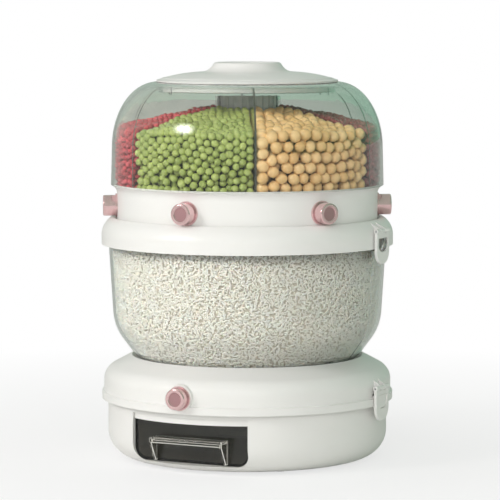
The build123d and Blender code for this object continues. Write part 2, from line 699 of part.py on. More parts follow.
# Base cover: lip, side, shoulder, crest and the dish that the bowl stands in
with BuildPart() as base_cover:
    dish_heel = BOWL_BOTTOM + BOWL_HEEL_RISE - SEAT_GAP
    dish_floor = BOWL_BOTTOM - SEAT_GAP
    lip_step = COVER_LIP_RADIUS - COVER_SIDE_RADIUS
    with BuildSketch(Plane.XZ):
        with BuildLine():
            Polyline(
                (COVER_LIP_RADIUS, COVER_LIP_BOTTOM),
                (COVER_LIP_RADIUS, COVER_LIP_TOP),
                (COVER_SIDE_RADIUS, COVER_LIP_TOP + lip_step / 2),
                (COVER_SIDE_RADIUS, COVER_SIDE_TOP),
            )
            TangentArc(
                (COVER_SIDE_RADIUS, COVER_SIDE_TOP), (SHOULDER_RADIUS, SHOULDER_TOP), tangent=(0, 1)
            )
            FilletPolyline(
                (SHOULDER_RADIUS, SHOULDER_TOP),
                (COVER_CREST_RADIUS, CREST_LEVEL),
                (BOWL_HEEL_RADIUS, dish_heel),
                (BOWL_FLAT_RADIUS, dish_floor),
                (0, dish_floor),
                radius=COVER_CREST_ROUND,
            )
            offset(amount=COVER_WALL, side=Side.LEFT)
        make_face()
    revolve(axis=Axis.Z)
    with BuildSketch(Plane.XY.offset(SHELL_TOP)):
        Circle(COVER_SIDE_RADIUS - COVER_WALL / 2)
        Circle(SHELL_RADIUS - SHELL_WALL, mode=Mode.SUBTRACT)
    extrude(amount=COVER_STOP_HEIGHT)
    with BuildSketch(Plane.XZ.offset(COVER_SIDE_RADIUS - COVER_WALL)):
        with Locations((0, RICE_AXIS)):
            Circle(BOSS_RADIUS)
    extrude(amount=BOSS_REACH - COVER_SIDE_RADIUS + COVER_WALL)
    with BuildSketch(Plane.XZ.offset(BOWL_HEEL_RADIUS)):
        with Locations((0, RICE_AXIS)):
            Circle(SLEEVE_HOLE)
    extrude(amount=BOSS_REACH - BOWL_HEEL_RADIUS, mode=Mode.SUBTRACT)
    with BuildSketch(Plane.XY.offset(DISH_UNDERSIDE)):
        spout_margin = 2 * SPOUT_WALL + 2 * SEAT_GAP
        SlotOverall(SPOUT_LENGTH + spout_margin, SPOUT_WIDTH + spout_margin)
    extrude(amount=COVER_WALL, mode=Mode.SUBTRACT)
    lug_notches(COVER_SIDE_RADIUS - COVER_WALL, COVER_LIP_BOTTOM, BASE_HINGE)
    ear_root = COVER_SIDE_RADIUS - COVER_WALL / 2
    hinge_ears(BASE_HINGE, ear_root, ear_root - EAR_LEAN)
save(base_cover, "base_cover")

# Rice bowl: a clear turned tub with a slot spout below and latch lugs near its rim
with BuildPart() as rice_bowl:
    with BuildSketch(Plane.XZ):
        with BuildLine():
            FilletPolyline(
                (0, BOWL_BOTTOM),
                (BOWL_FLAT_RADIUS, BOWL_BOTTOM),
                (BOWL_HEEL_RADIUS, BOWL_BOTTOM + BOWL_HEEL_RISE),
                (BOWL_WAIST_RADIUS, BOWL_BOTTOM + BOWL_WAIST_RISE),
                (BOWL_RIM_RADIUS, BOWL_TOP),
                radius=[0, BOWL_HEEL_ROUND, BOWL_WAIST_ROUND],
            )
            offset(amount=BOWL_WALL, side=Side.LEFT)
        make_face()
    revolve(axis=Axis.Z)
    with BuildSketch(Plane.XY.offset(SPOUT_BOTTOM)):
        SlotOverall(SPOUT_LENGTH + 2 * SPOUT_WALL, SPOUT_WIDTH + 2 * SPOUT_WALL)
    extrude(amount=SPOUT_DROP + BOWL_WALL / 2)
    with BuildSketch(Plane.XY.offset(SPOUT_BOTTOM)):
        SlotOverall(SPOUT_LENGTH, SPOUT_WIDTH)
    extrude(amount=SPOUT_DROP + BOWL_WALL, mode=Mode.SUBTRACT)
    latch_lugs(BOWL_RIM_RADIUS - BOWL_WALL, COLLAR_HINGE)
save(rice_bowl, "rice_bowl")

# Silicone sleeve stretched over the spout, under the cover's dish
with BuildPart() as outlet_seal:
    with BuildSketch(Plane.XY.offset(SPOUT_BOTTOM)):
        seal_inside = 2 * SPOUT_WALL + 2 * PIN_GAP
        seal_outside = seal_inside + 2 * SEAL_WALL
        SlotOverall(SPOUT_LENGTH + seal_outside, SPOUT_WIDTH + seal_outside)
        SlotOverall(SPOUT_LENGTH + seal_inside, SPOUT_WIDTH + seal_inside, mode=Mode.SUBTRACT)
    extrude(amount=DISH_UNDERSIDE - SPOUT_BOTTOM - SEAT_GAP)
save(outlet_seal, "outlet_seal")

# Funnel under the cover: rails that carry the rice gate, and a chute into the drawer bay
with BuildPart() as outlet_funnel:
    gate_bottom = RICE_GATE_TOP - GATE_THICKNESS
    shelf_top = gate_bottom - SLIDE_GAP
    rail_inside = RICE_GATE_WIDTH / 2 + SLIDE_GAP
    with BuildSketch(Plane.XY.offset(shelf_top - FUNNEL_WALL)):
        Rectangle(2 * rail_inside + 2 * FUNNEL_RAIL, FUNNEL_LENGTH)
    extrude(amount=FUNNEL_WALL)
    with BuildSketch(Plane.XY.offset(shelf_top)):
        with Locations((-rail_inside, 0), (rail_inside, 0)):
            Rectangle(2 * FUNNEL_RAIL, FUNNEL_LENGTH)
        Rectangle(2 * rail_inside, FUNNEL_LENGTH, mode=Mode.SUBTRACT)
    extrude(amount=DISH_UNDERSIDE - shelf_top)
    chute_bottom = BAY_TOP + SEAT_GAP
    with BuildSketch(Plane.XY.offset(chute_bottom)):
        SlotOverall(SPOUT_LENGTH + 3 * SPOUT_WALL, SPOUT_WIDTH + 3 * SPOUT_WALL)
    extrude(amount=shelf_top - FUNNEL_WALL / 2 - chute_bottom)
    with BuildSketch(Plane.XY.offset(chute_bottom)):
        SlotOverall(SPOUT_LENGTH + SPOUT_WALL, SPOUT_WIDTH + SPOUT_WALL)
    extrude(amount=shelf_top - chute_bottom, mode=Mode.SUBTRACT)
save(outlet_funnel, "outlet_funnel")

# Rice button at the front of the cover, with its bezel, spring and gate
rice_turn = BUTTON_PLACES["front"]
gate_middle = RICE_GATE_TOP - GATE_THICKNESS / 2
with BuildPart() as rice_bezel:
    with Locations(turned_place(rice_turn, RICE_AXIS)):
        add(button_bezel(RICE_REACH, RICE_STROKE, BOSS_REACH))
save(rice_bezel, "rice_bezel")

with BuildPart() as rice_button:
    with Locations(turned_place(rice_turn, RICE_AXIS)):
        add(button_cap(RICE_REACH))
save(rice_button, "rice_button")

with BuildPart() as rice_spring:
    with Locations(turned_place(rice_turn, RICE_AXIS)):
        add(button_spring(RICE_REACH, RICE_STROKE))
save(rice_spring, "rice_spring")

rice_head = (-SPOUT_WIDTH / 2 - RICE_GATE_MARGIN, RICE_STROKE + SPOUT_WIDTH / 2 + RICE_GATE_MARGIN)
with BuildPart() as rice_gate:
    with Locations(turned_place(rice_turn, gate_middle)):
        add(
            sliding_gate(
                RICE_REACH,
                rice_head,
                RICE_GATE_WIDTH,
                RICE_TONGUE_WIDTH,
                (RICE_STROKE, SPOUT_WIDTH, SPOUT_LENGTH),
            )
        )
save(rice_gate, "rice_gate")

# Collar: a lipped crown over the bowl's rim, with a deck that carries the turntable
with BuildPart() as bowl_collar:
    well_outside = COLLAR_WELL_RADIUS + COLLAR_WELL_WALL
    deck_bottom = DECK_TOP - COLLAR_DECK
    lip_inside = COLLAR_LIP_RADIUS - COLLAR_LIP_WALL
    rim_space = BOWL_RIM_RADIUS + SLIDE_GAP
    crown_mid = (COLLAR_LIP_RADIUS - COLLAR_BULGE_INSET, COLLAR_LIP_TOP + COLLAR_BULGE_RISE)
    roll_end = COLLAR_CROWN - COLLAR_ROLL_DROP
    with BuildSketch(Plane.XZ):
        with BuildLine():
            Line((COLLAR_LIP_RADIUS, COLLAR_LIP_BOTTOM), (COLLAR_LIP_RADIUS, COLLAR_LIP_TOP))
            ThreePointArc(
                (COLLAR_LIP_RADIUS, COLLAR_LIP_TOP), crown_mid, (COLLAR_CROWN_RADIUS, COLLAR_CROWN)
            )
            SagittaArc((COLLAR_CROWN_RADIUS, COLLAR_CROWN), (COLLAR_WELL_RADIUS, roll_end), -COLLAR_ROLL)
            Polyline(
                (COLLAR_WELL_RADIUS, roll_end),
                (COLLAR_WELL_RADIUS, DECK_TOP),
                (COLLAR_DECK_BORE, DECK_TOP),
                (COLLAR_DECK_BORE, deck_bottom),
                (well_outside, deck_bottom),
                (well_outside, COLLAR_CEILING),
                (rim_space, COLLAR_CEILING),
                (lip_inside, COLLAR_LIP_TOP),
                (lip_inside, COLLAR_LIP_BOTTOM),
                (COLLAR_LIP_RADIUS, COLLAR_LIP_BOTTOM),
            )
        make_face()
    revolve(axis=Axis.Z)
    with BuildSketch(Plane.XZ):
        with Locations((BALL_CIRCLE, BALL_LEVEL)):
            Circle(BALL_RADIUS + RACE_GAP)
    revolve(axis=Axis.Z, mode=Mode.SUBTRACT)
    lug_notches(lip_inside, COLLAR_LIP_BOTTOM, COLLAR_HINGE)
    hinge_ears(COLLAR_HINGE, lip_inside, COLLAR_CROWN_RADIUS)
save(bowl_collar, "bowl_collar")

# Silicone ring between the bowl's rim and the collar
with BuildPart() as collar_seal:
    with BuildSketch(Plane.XY.offset(BOWL_TOP + SEAT_GAP)):
        Circle(BOWL_RIM_RADIUS)
        Circle(BOWL_RIM_RADIUS - BOWL_WALL - SLIDE_GAP, mode=Mode.SUBTRACT)
    extrude(amount=COLLAR_SEAL_HEIGHT)
save(collar_seal, "collar_seal")

# Four swing latches on their pins
latch_pins("base_latch_pins", BASE_HINGE)
latch_pins("collar_latch_pins", COLLAR_HINGE)
for side_name, side_sign in SIDES.items():
    latch(f"base_latch_{side_name}", side_sign, BASE_HINGE)
    latch(f"collar_latch_{side_name}", side_sign, COLLAR_HINGE)

# Turntable bearing: a caged ring of steel balls
with BuildPart() as turntable_cage:
    with BuildSketch(Plane.XY.offset(BALL_LEVEL - CAGE_HEIGHT / 2)):
        Circle(BALL_CIRCLE + CAGE_WIDTH / 2)
        Circle(BALL_CIRCLE - CAGE_WIDTH / 2, mode=Mode.SUBTRACT)
        with PolarLocations(BALL_CIRCLE, BALL_COUNT):
            Circle(BALL_RADIUS + CAGE_GAP, mode=Mode.SUBTRACT)
    extrude(amount=CAGE_HEIGHT)
save(turntable_cage, "turntable_cage")

with BuildPart() as turntable_balls:
    with Locations((0, 0, BALL_LEVEL)):
        with PolarLocations(BALL_CIRCLE, BALL_COUNT):
            Sphere(BALL_RADIUS)
save(turntable_balls, "turntable_balls")

# Turntable plate under the ring: upper race, six ducts and the gates' guides
duct_width = OUTLET_WIDTH + 2 * SLIDE_GAP + 2 * DUCT_WALL
duct_length = OUTLET_LENGTH + 2 * DUCT_WALL
guide_inside = GRAIN_GATE_WIDTH / 2 + SLIDE_GAP
with BuildPart() as turntable_plate:
    with BuildSketch(Plane.XY.offset(PLATE_BOTTOM)):
        Circle(RING_RADIUS - RING_WALL - SEAT_GAP)
        Circle(PLATE_BORE, mode=Mode.SUBTRACT)
    extrude(amount=PLATE_THICKNESS)
    with BuildSketch(Plane.XZ):
        with Locations((BALL_CIRCLE, BALL_LEVEL)):
            Circle(BALL_RADIUS + RACE_GAP)
    revolve(axis=Axis.Z, mode=Mode.SUBTRACT)
    with BuildSketch(Plane.XY.offset(PLATE_TOP)):
        with PolarLocations(FLOOR_TROUGH, SECTORS, start_angle=SECTOR_ANGLE / 2):
            Rectangle(duct_width, duct_length)
    extrude(amount=GRAIN_GATE_BOTTOM - SEAT_GAP - PLATE_TOP)
    with BuildSketch(Plane.XY.offset(PLATE_TOP)):
        with PolarLocations(FLOOR_TROUGH, SECTORS, start_angle=SECTOR_ANGLE / 2):
            with Locations((0, guide_inside), (0, -guide_inside - GUIDE_WALL)):
                Rectangle(duct_width, GUIDE_WALL, align=(Align.CENTER, Align.MIN))
    extrude(amount=GRAIN_GATE_TOP - PLATE_TOP)
    with BuildSketch(Plane.XY.offset(PLATE_BOTTOM)):
        with PolarLocations(FLOOR_TROUGH, SECTORS, start_angle=SECTOR_ANGLE / 2):
            Rectangle(duct_width - 2 * DUCT_WALL, OUTLET_LENGTH)
    extrude(amount=GRAIN_GATE_TOP - PLATE_BOTTOM, mode=Mode.SUBTRACT)
save(turntable_plate, "turntable_plate")

# Dispenser ring: skirt, coved rim, locating lip and a ledge for the tray
floor_under = FLOOR_EDGE_LEVEL - FLOOR_THICKNESS
with BuildPart() as dispenser_ring:
    lip_inner = RING_LIP_RADIUS - RING_LIP_WALL
    skirt_inner = RING_RADIUS - RING_WALL
    cove_bottom = RING_RIM - RING_COVE
    with BuildSketch(Plane.XZ):
        with BuildLine():
            Line((RING_RADIUS, RING_BOTTOM), (RING_RADIUS, cove_bottom))
            TangentArc((RING_RADIUS, cove_bottom), (RING_RIM_RADIUS, RING_RIM), tangent=(0, 1))
            Polyline(
                (RING_RIM_RADIUS, RING_RIM),
                (RING_LIP_RADIUS, RING_RIM),
                (RING_LIP_RADIUS, RING_RIM + RING_LIP_HEIGHT),
                (lip_inner, RING_RIM + RING_LIP_HEIGHT),
                (lip_inner, FLOOR_EDGE_LEVEL),
                (TRAY_SEAT_RADIUS, FLOOR_EDGE_LEVEL),
                (TRAY_SEAT_RADIUS, floor_under),
                (skirt_inner, floor_under),
                (skirt_inner, RING_BOTTOM),
                (RING_RADIUS, RING_BOTTOM),
            )
        make_face()
    revolve(axis=Axis.Z)
    button_holes()
save(dispenser_ring, "dispenser_ring")

# Grain tray: a troughed floor with six outlets, on the ring's ledge and on posts
with BuildPart() as grain_tray:
    tray_radius = TRAY_SEAT_RADIUS - SEAT_GAP
    trough_under = TROUGH_LEVEL - FLOOR_THICKNESS
    with BuildSketch(Plane.XZ):
        with BuildLine():
            Polyline(
                (0, FLOOR_EDGE_LEVEL),
                (DIVIDER_HUB, FLOOR_EDGE_LEVEL),
                (TROUGH_INNER, TROUGH_LEVEL),
                (TROUGH_OUTER, TROUGH_LEVEL),
                (tray_radius, FLOOR_EDGE_LEVEL),
                (tray_radius, floor_under),
                (skirt_inner - SEAT_GAP, floor_under),
                (TROUGH_OUTER, trough_under),
                (TROUGH_INNER, trough_under),
                (DIVIDER_HUB, floor_under),
                (0, floor_under),
                close=True,
            )
        make_face()
    revolve(axis=Axis.Z)
    with BuildSketch(Plane.XY.offset(GRAIN_GATE_TOP + SLIDE_GAP)):
        with PolarLocations(FLOOR_TROUGH, SECTORS, start_angle=SECTOR_ANGLE / 2):
            Rectangle(OUTLET_WIDTH + 2 * DUCT_WALL, OUTLET_LENGTH + 2 * DUCT_WALL)
    extrude(amount=TROUGH_LEVEL - FLOOR_THICKNESS / 2 - GRAIN_GATE_TOP - SLIDE_GAP)
    with BuildSketch(Plane.XY.offset(GRAIN_GATE_TOP)):
        with PolarLocations(FLOOR_TROUGH, SECTORS, start_angle=SECTOR_ANGLE / 2):
            Rectangle(OUTLET_WIDTH, OUTLET_LENGTH)
    extrude(amount=RING_RIM - GRAIN_GATE_TOP, mode=Mode.SUBTRACT)
    with BuildSketch(Plane.XY.offset(PLATE_TOP)):
        with PolarLocations(POST_CIRCLE, SECTORS):
            Circle(POST_RADIUS)
    extrude(amount=floor_under - PLATE_TOP)
    button_holes()
save(grain_tray, "grain_tray")

# Six bezels in the ring, and a button, a spring and a gate for each sector
grain_bezel = button_bezel(GRAIN_REACH, GRAIN_STROKE, RING_RADIUS, RING_RADIUS)
with BuildPart() as grain_bezels:
    for place in BUTTON_PLACES.values():
        with Locations(turned_place(place, GRAIN_AXIS)):
            add(grain_bezel)
save(grain_bezels, "grain_bezels")

grain_window = FLOOR_TROUGH + GRAIN_STROKE
grain_head = (
    FLOOR_TROUGH - OUTLET_WIDTH / 2 - GRAIN_GATE_MARGIN,
    grain_window + OUTLET_WIDTH / 2 + GRAIN_GATE_MARGIN,
)
grain_gate_solid = sliding_gate(
    GRAIN_REACH,
    grain_head,
    GRAIN_GATE_WIDTH,
    GRAIN_TONGUE_WIDTH,
    (grain_window, OUTLET_WIDTH, OUTLET_LENGTH),
)
grain_pieces = {
    "grain_button": button_cap(GRAIN_REACH),
    "grain_spring": button_spring(GRAIN_REACH, GRAIN_STROKE),
    "grain_gate": grain_gate_solid,
}
for place_name, place in BUTTON_PLACES.items():
    for kind, solid in grain_pieces.items():
        with BuildPart() as grain_piece:
            with Locations(turned_place(place, GRAIN_AXIS)):
                add(solid)
        save(grain_piece, f"{kind}_{place_name}")

# Divider: six clear walls that follow the floor and the dome and stop short of the neck,
# on a plain hub sleeve
with BuildPart() as divider_leaf:
    leaf_width = DOME_CROWN_WIDTH - DOME_WALL - SLIDE_GAP
    leaf_height = DOME_CROWN_HEIGHT - DOME_WALL - SLIDE_GAP
    leaf_radius = DOME_CROWN_CENTRE + leaf_width
    lip_clear = RING_LIP_RADIUS - RING_LIP_WALL - SLIDE_GAP
    with BuildSketch(Plane.XZ):
        with BuildLine():
            EllipticalCenterArc(
                (DOME_CROWN_CENTRE, DOME_SPRING), leaf_width, leaf_height, start_angle=0, arc_size=90
            )
            Polyline(
                (DOME_CROWN_CENTRE, DOME_SPRING + leaf_height),
                (DIVIDER_HUB - DIVIDER_HUB_WALL / 2, DOME_SPRING + leaf_height),
                (DIVIDER_HUB - DIVIDER_HUB_WALL / 2, FLOOR_EDGE_LEVEL + SEAT_GAP),
                (DIVIDER_HUB, FLOOR_EDGE_LEVEL + SEAT_GAP),
                (TROUGH_INNER, TROUGH_LEVEL + SEAT_GAP),
                (TROUGH_OUTER, TROUGH_LEVEL + SEAT_GAP),
                (TRAY_SEAT_RADIUS, FLOOR_EDGE_LEVEL + SEAT_GAP),
                (lip_clear, FLOOR_EDGE_LEVEL + SEAT_GAP),
                (lip_clear, RING_RIM + RING_LIP_HEIGHT + SLIDE_GAP),
                (leaf_radius, RING_RIM + RING_LIP_HEIGHT + SLIDE_GAP),
                (leaf_radius, DOME_SPRING),
            )
        make_face()
    extrude(amount=DIVIDER_WALL / 2, both=True)
    with BuildSketch(Plane.XY.offset(DIVIDER_TOP)):
        Circle(MOUTH_RADIUS + DOME_WALL + SLIDE_GAP)
    extrude(amount=DIVIDER_DROP, mode=Mode.SUBTRACT)

with BuildPart() as divider:
    with BuildSketch(Plane.XY.offset(FLOOR_EDGE_LEVEL + SEAT_GAP)):
        Circle(DIVIDER_HUB)
    extrude(amount=DIVIDER_TOP - FLOOR_EDGE_LEVEL - SEAT_GAP)
    with PolarLocations(0, SECTORS):
        add(divider_leaf.part)
    with BuildSketch(Plane.XY.offset(FLOOR_EDGE_LEVEL + SEAT_GAP)):
        Circle(DIVIDER_HUB - DIVIDER_HUB_WALL)
    extrude(amount=DIVIDER_TOP - FLOOR_EDGE_LEVEL - SEAT_GAP, mode=Mode.SUBTRACT)
save(divider, "divider")

# Fluted core tube that stands inside the hub sleeve
with BuildPart() as hub_core:
    with BuildSketch(Plane.XY.offset(FLOOR_EDGE_LEVEL + SEAT_GAP)):
        Circle(CORE_RADIUS)
        with PolarLocations(CORE_RADIUS, CORE_FLUTES):
            Circle(CORE_FLUTE_RADIUS)
        Circle(CORE_RADIUS - CORE_WALL, mode=Mode.SUBTRACT)
    extrude(amount=DIVIDER_TOP - FLOOR_EDGE_LEVEL - SEAT_GAP)
save(hub_core, "hub_core")

# Clear dome: straight foot, elliptical crown and a short neck round the mouth
with BuildPart() as dome:
    with BuildSketch(Plane.XZ):
        with BuildLine():
            Line((DOME_FOOT_RADIUS, DOME_BOTTOM), (DOME_SPRING_RADIUS, DOME_SPRING))
            EllipticalCenterArc(
                (DOME_CROWN_CENTRE, DOME_SPRING),
                DOME_CROWN_WIDTH,
                DOME_CROWN_HEIGHT,
                start_angle=0,
                arc_size=90,
            )
            Polyline(
                (DOME_CROWN_CENTRE, DOME_TOP),
                (MOUTH_RADIUS, DOME_TOP),
                (MOUTH_RADIUS, DOME_TOP - MOUTH_NECK),
                (MOUTH_RADIUS + DOME_WALL, DOME_TOP - MOUTH_NECK),
                (MOUTH_RADIUS + DOME_WALL, DOME_TOP - DOME_WALL),
                (DOME_CROWN_CENTRE, DOME_TOP - DOME_WALL),
            )
            EllipticalCenterArc(
                (DOME_CROWN_CENTRE, DOME_SPRING),
                DOME_CROWN_WIDTH - DOME_WALL,
                DOME_CROWN_HEIGHT - DOME_WALL,
                start_angle=90,
                arc_size=-90,
            )
            Polyline(
                (DOME_SPRING_RADIUS - DOME_WALL, DOME_SPRING),
                (DOME_FOOT_RADIUS - DOME_WALL, DOME_BOTTOM),
                (DOME_FOOT_RADIUS, DOME_BOTTOM),
            )
        make_face()
    revolve(axis=Axis.Z)
save(dome, "dome")

# Lid: a shallow crown with a dished knob, and a plug that carries the seal
with BuildPart() as lid:
    roll_peak = ((KNOB_RADIUS + KNOB_DISH_RADIUS) / 2, KNOB_TOP + KNOB_ROLL)
    roll_inner = KNOB_TOP + KNOB_ROLL / 2
    dish_level = roll_inner - KNOB_DISH_DEPTH
    seal_low = LID_BOTTOM - PLUG_DEPTH / 2
    seal_inner = PLUG_RADIUS - LID_SEAL_SINK
    with BuildSketch(Plane.XZ):
        with BuildLine():
            TangentArc((0, dish_level), (KNOB_DISH_RADIUS, roll_inner), tangent=(1, 0))
            ThreePointArc((KNOB_DISH_RADIUS, roll_inner), roll_peak, (KNOB_RADIUS, KNOB_TOP))
            SagittaArc((KNOB_RADIUS, KNOB_TOP), (KNOB_BASE_RADIUS, KNOB_BASE), -KNOB_FLARE)
            SagittaArc((KNOB_BASE_RADIUS, KNOB_BASE), (LID_RADIUS, LID_EDGE_TOP), LID_BULGE)
            Line((LID_RADIUS, LID_EDGE_TOP), (LID_RADIUS, LID_BOTTOM))
            offset(amount=LID_WALL, side=Side.RIGHT)
        make_face()
        with Locations((PLUG_RADIUS, LID_BOTTOM - PLUG_DEPTH)):
            Rectangle(PLUG_WALL, PLUG_DEPTH + LID_EDGE + LID_WALL, align=(Align.MAX, Align.MIN))
        with Locations((seal_inner, seal_low)):
            Rectangle(PLUG_WALL, LID_SEAL_HEIGHT, align=(Align.MIN, Align.MIN), mode=Mode.SUBTRACT)
    revolve(axis=Axis.Z)
save(lid, "lid")

# Silicone ring in the plug's groove
with BuildPart() as lid_seal:
    with BuildSketch(Plane.XY.offset(seal_low)):
        Circle(MOUTH_RADIUS - LID_SEAL_GAP)
        Circle(seal_inner, mode=Mode.SUBTRACT)
    extrude(amount=LID_SEAL_HEIGHT)
    rims = lid_seal.edges().filter_by(GeomType.CIRCLE)
    fillet(rims.group_by(SortBy.RADIUS)[-1], radius=LID_SEAL_HEIGHT / 4)
save(lid_seal, "lid_seal")
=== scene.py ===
"""Dresses a three-tier grain and rice dispenser: its plastics, its loose contents, the light and the camera.

Lengths in the dataclasses are millimetres, as on the drawing, apart from a lamp's, which are metres. Meshes
are made in metres. Front is -Y and up is +Z.
"""

from __future__ import annotations

import logging
import math
from dataclasses import dataclass
from enum import Enum

import bpy
import numpy as np
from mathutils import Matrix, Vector

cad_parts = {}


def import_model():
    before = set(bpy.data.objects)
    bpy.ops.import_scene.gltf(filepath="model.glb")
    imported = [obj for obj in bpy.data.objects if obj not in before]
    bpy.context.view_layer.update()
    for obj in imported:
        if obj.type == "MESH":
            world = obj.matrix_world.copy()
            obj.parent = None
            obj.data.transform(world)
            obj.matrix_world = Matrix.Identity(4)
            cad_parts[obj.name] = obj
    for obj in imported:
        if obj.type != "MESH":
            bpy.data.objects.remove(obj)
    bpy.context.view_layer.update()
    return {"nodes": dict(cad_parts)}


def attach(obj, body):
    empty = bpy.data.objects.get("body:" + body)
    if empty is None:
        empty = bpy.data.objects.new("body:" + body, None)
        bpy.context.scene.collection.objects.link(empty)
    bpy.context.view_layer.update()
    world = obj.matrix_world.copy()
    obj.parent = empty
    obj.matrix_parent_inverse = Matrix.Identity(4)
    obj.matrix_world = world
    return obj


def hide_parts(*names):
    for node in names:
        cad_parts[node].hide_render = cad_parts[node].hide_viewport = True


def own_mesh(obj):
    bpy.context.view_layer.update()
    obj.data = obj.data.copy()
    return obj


LOG = logging.getLogger("dispenser")
MM = 0.001
SIXTH = math.radians(60)
Colour = tuple[float, float, float]


class Sector(Enum):
    """The six compartments and the angle, in degrees, of each one's middle and of its push button."""

    FRONT = -90
    FRONT_RIGHT = -30
    BACK_RIGHT = 30
    BACK = 90
    BACK_LEFT = 150
    FRONT_LEFT = 210

    @property
    def label(self) -> str:
        """The compartment's name as the nodes spell it."""
        return self.name.lower()

    @property
    def angle(self) -> float:
        """The middle's angle in radians."""
        return math.radians(self.value)

    @property
    def outward(self) -> np.ndarray:
        """The unit vector from the axis through the compartment's middle."""
        return np.array([math.cos(self.angle), math.sin(self.angle), 0.0])


class Graph:
    """A node tree under construction."""

    def __init__(self, tree: bpy.types.NodeTree) -> None:
        """Takes the tree to add to.

        Args:
            tree: the node tree of a material, a lamp, a world or a group.
        """
        self.tree = tree

    @classmethod
    def of(cls, owner: bpy.types.Material | bpy.types.Light | bpy.types.World) -> Graph:
        """Turns on the owner's nodes and empties its tree.

        Args:
            owner: what the nodes belong to.

        Returns:
            The graph of the empty tree.
        """
        owner.use_nodes = True
        owner.node_tree.nodes.clear()
        return cls(owner.node_tree)

    def add(self, kind: str, inputs: dict | None = None, **settings: object) -> bpy.types.Node:
        """Adds a node, sets its properties and fills or links its inputs.

        Args:
            kind: the node's type name, without the prefix ShaderNode.
            inputs: input name or number to a value, or to the socket that feeds it.
            settings: properties of the node itself.

        Returns:
            The new node.
        """
        node = self.tree.nodes.new(kind if kind.startswith("NodeGroup") else f"ShaderNode{kind}")
        for name, value in settings.items():
            setattr(node, name, value)
        for key, value in (inputs or {}).items():
            if isinstance(value, bpy.types.NodeSocket):
                self.tree.links.new(value, node.inputs[key])
            else:
                node.inputs[key].default_value = value
        return node

    def math(self, operation: str, *values: object) -> bpy.types.NodeSocket:
        """Adds one Math node and gives its result.

        Args:
            operation: the Math node's operation.
            values: its inputs in order, numbers or sockets.

        Returns:
            The node's output socket.
        """
        return self.add("Math", dict(enumerate(values)), operation=operation).outputs[0]

    def vector(self, operation: str, *values: object) -> bpy.types.NodeSocket:
        """Adds one Vector Math node and gives its result.

        Args:
            operation: the Vector Math node's operation.
            values: its inputs in order, vectors or sockets.

        Returns:
            A number for a length, a distance or a dot product, and otherwise a vector.
        """
        node = self.add("VectorMath", dict(enumerate(values)), operation=operation)
        return node.outputs["Value" if operation in ("LENGTH", "DISTANCE", "DOT_PRODUCT") else "Vector"]

    def remap(self, *values: object, **settings: object) -> bpy.types.NodeSocket:
        """Adds one Map Range node and gives its result.

        Args:
            values: the value, the two ends that it moves between and the two that they become.
            settings: properties of the node itself.

        Returns:
            The node's output socket.
        """
        return self.add("MapRange", dict(enumerate(values)), **settings).outputs[0]

    def mix(self, share: object, first: object, second: object) -> bpy.types.NodeSocket:
        """Adds a colour mix.

        Args:
            share: how much of the second colour, a number or a socket.
            first: the colour at a share of 0.
            second: the colour at a share of 1.

        Returns:
            The mixed colour.
        """
        return self.add("Mix", {0: share, 6: first, 7: second}, data_type="RGBA").outputs[2]

    def blend(self, share: object, first: object, second: object) -> bpy.types.NodeSocket:
        """Adds a shader mix.

        Args:
            share: how much of the second shader, a number or a socket.
            first: the shader at a share of 0.
            second: the shader at a share of 1.

        Returns:
            The mixed shader.
        """
        return self.add("MixShader", {0: share, 1: first, 2: second}).outputs[0]

    def bump(self, height: bpy.types.NodeSocket, distance: float, strength: float) -> bpy.types.NodeSocket:
        """Adds a bump.

        Args:
            height: the height from 0 to 1.
            distance: how far 1 stands out, in metres.
            strength: how much of it shows.

        Returns:
            The bumped normal.
        """
        return self.add("Bump", {"Height": height, "Distance": distance, "Strength": strength}).outputs[0]


def rgba(colour: Colour) -> tuple[float, float, float, float]:
    """Gives a colour with full alpha."""
    return (*colour, 1.0)


WHITE = rgba((1.0, 1.0, 1.0))


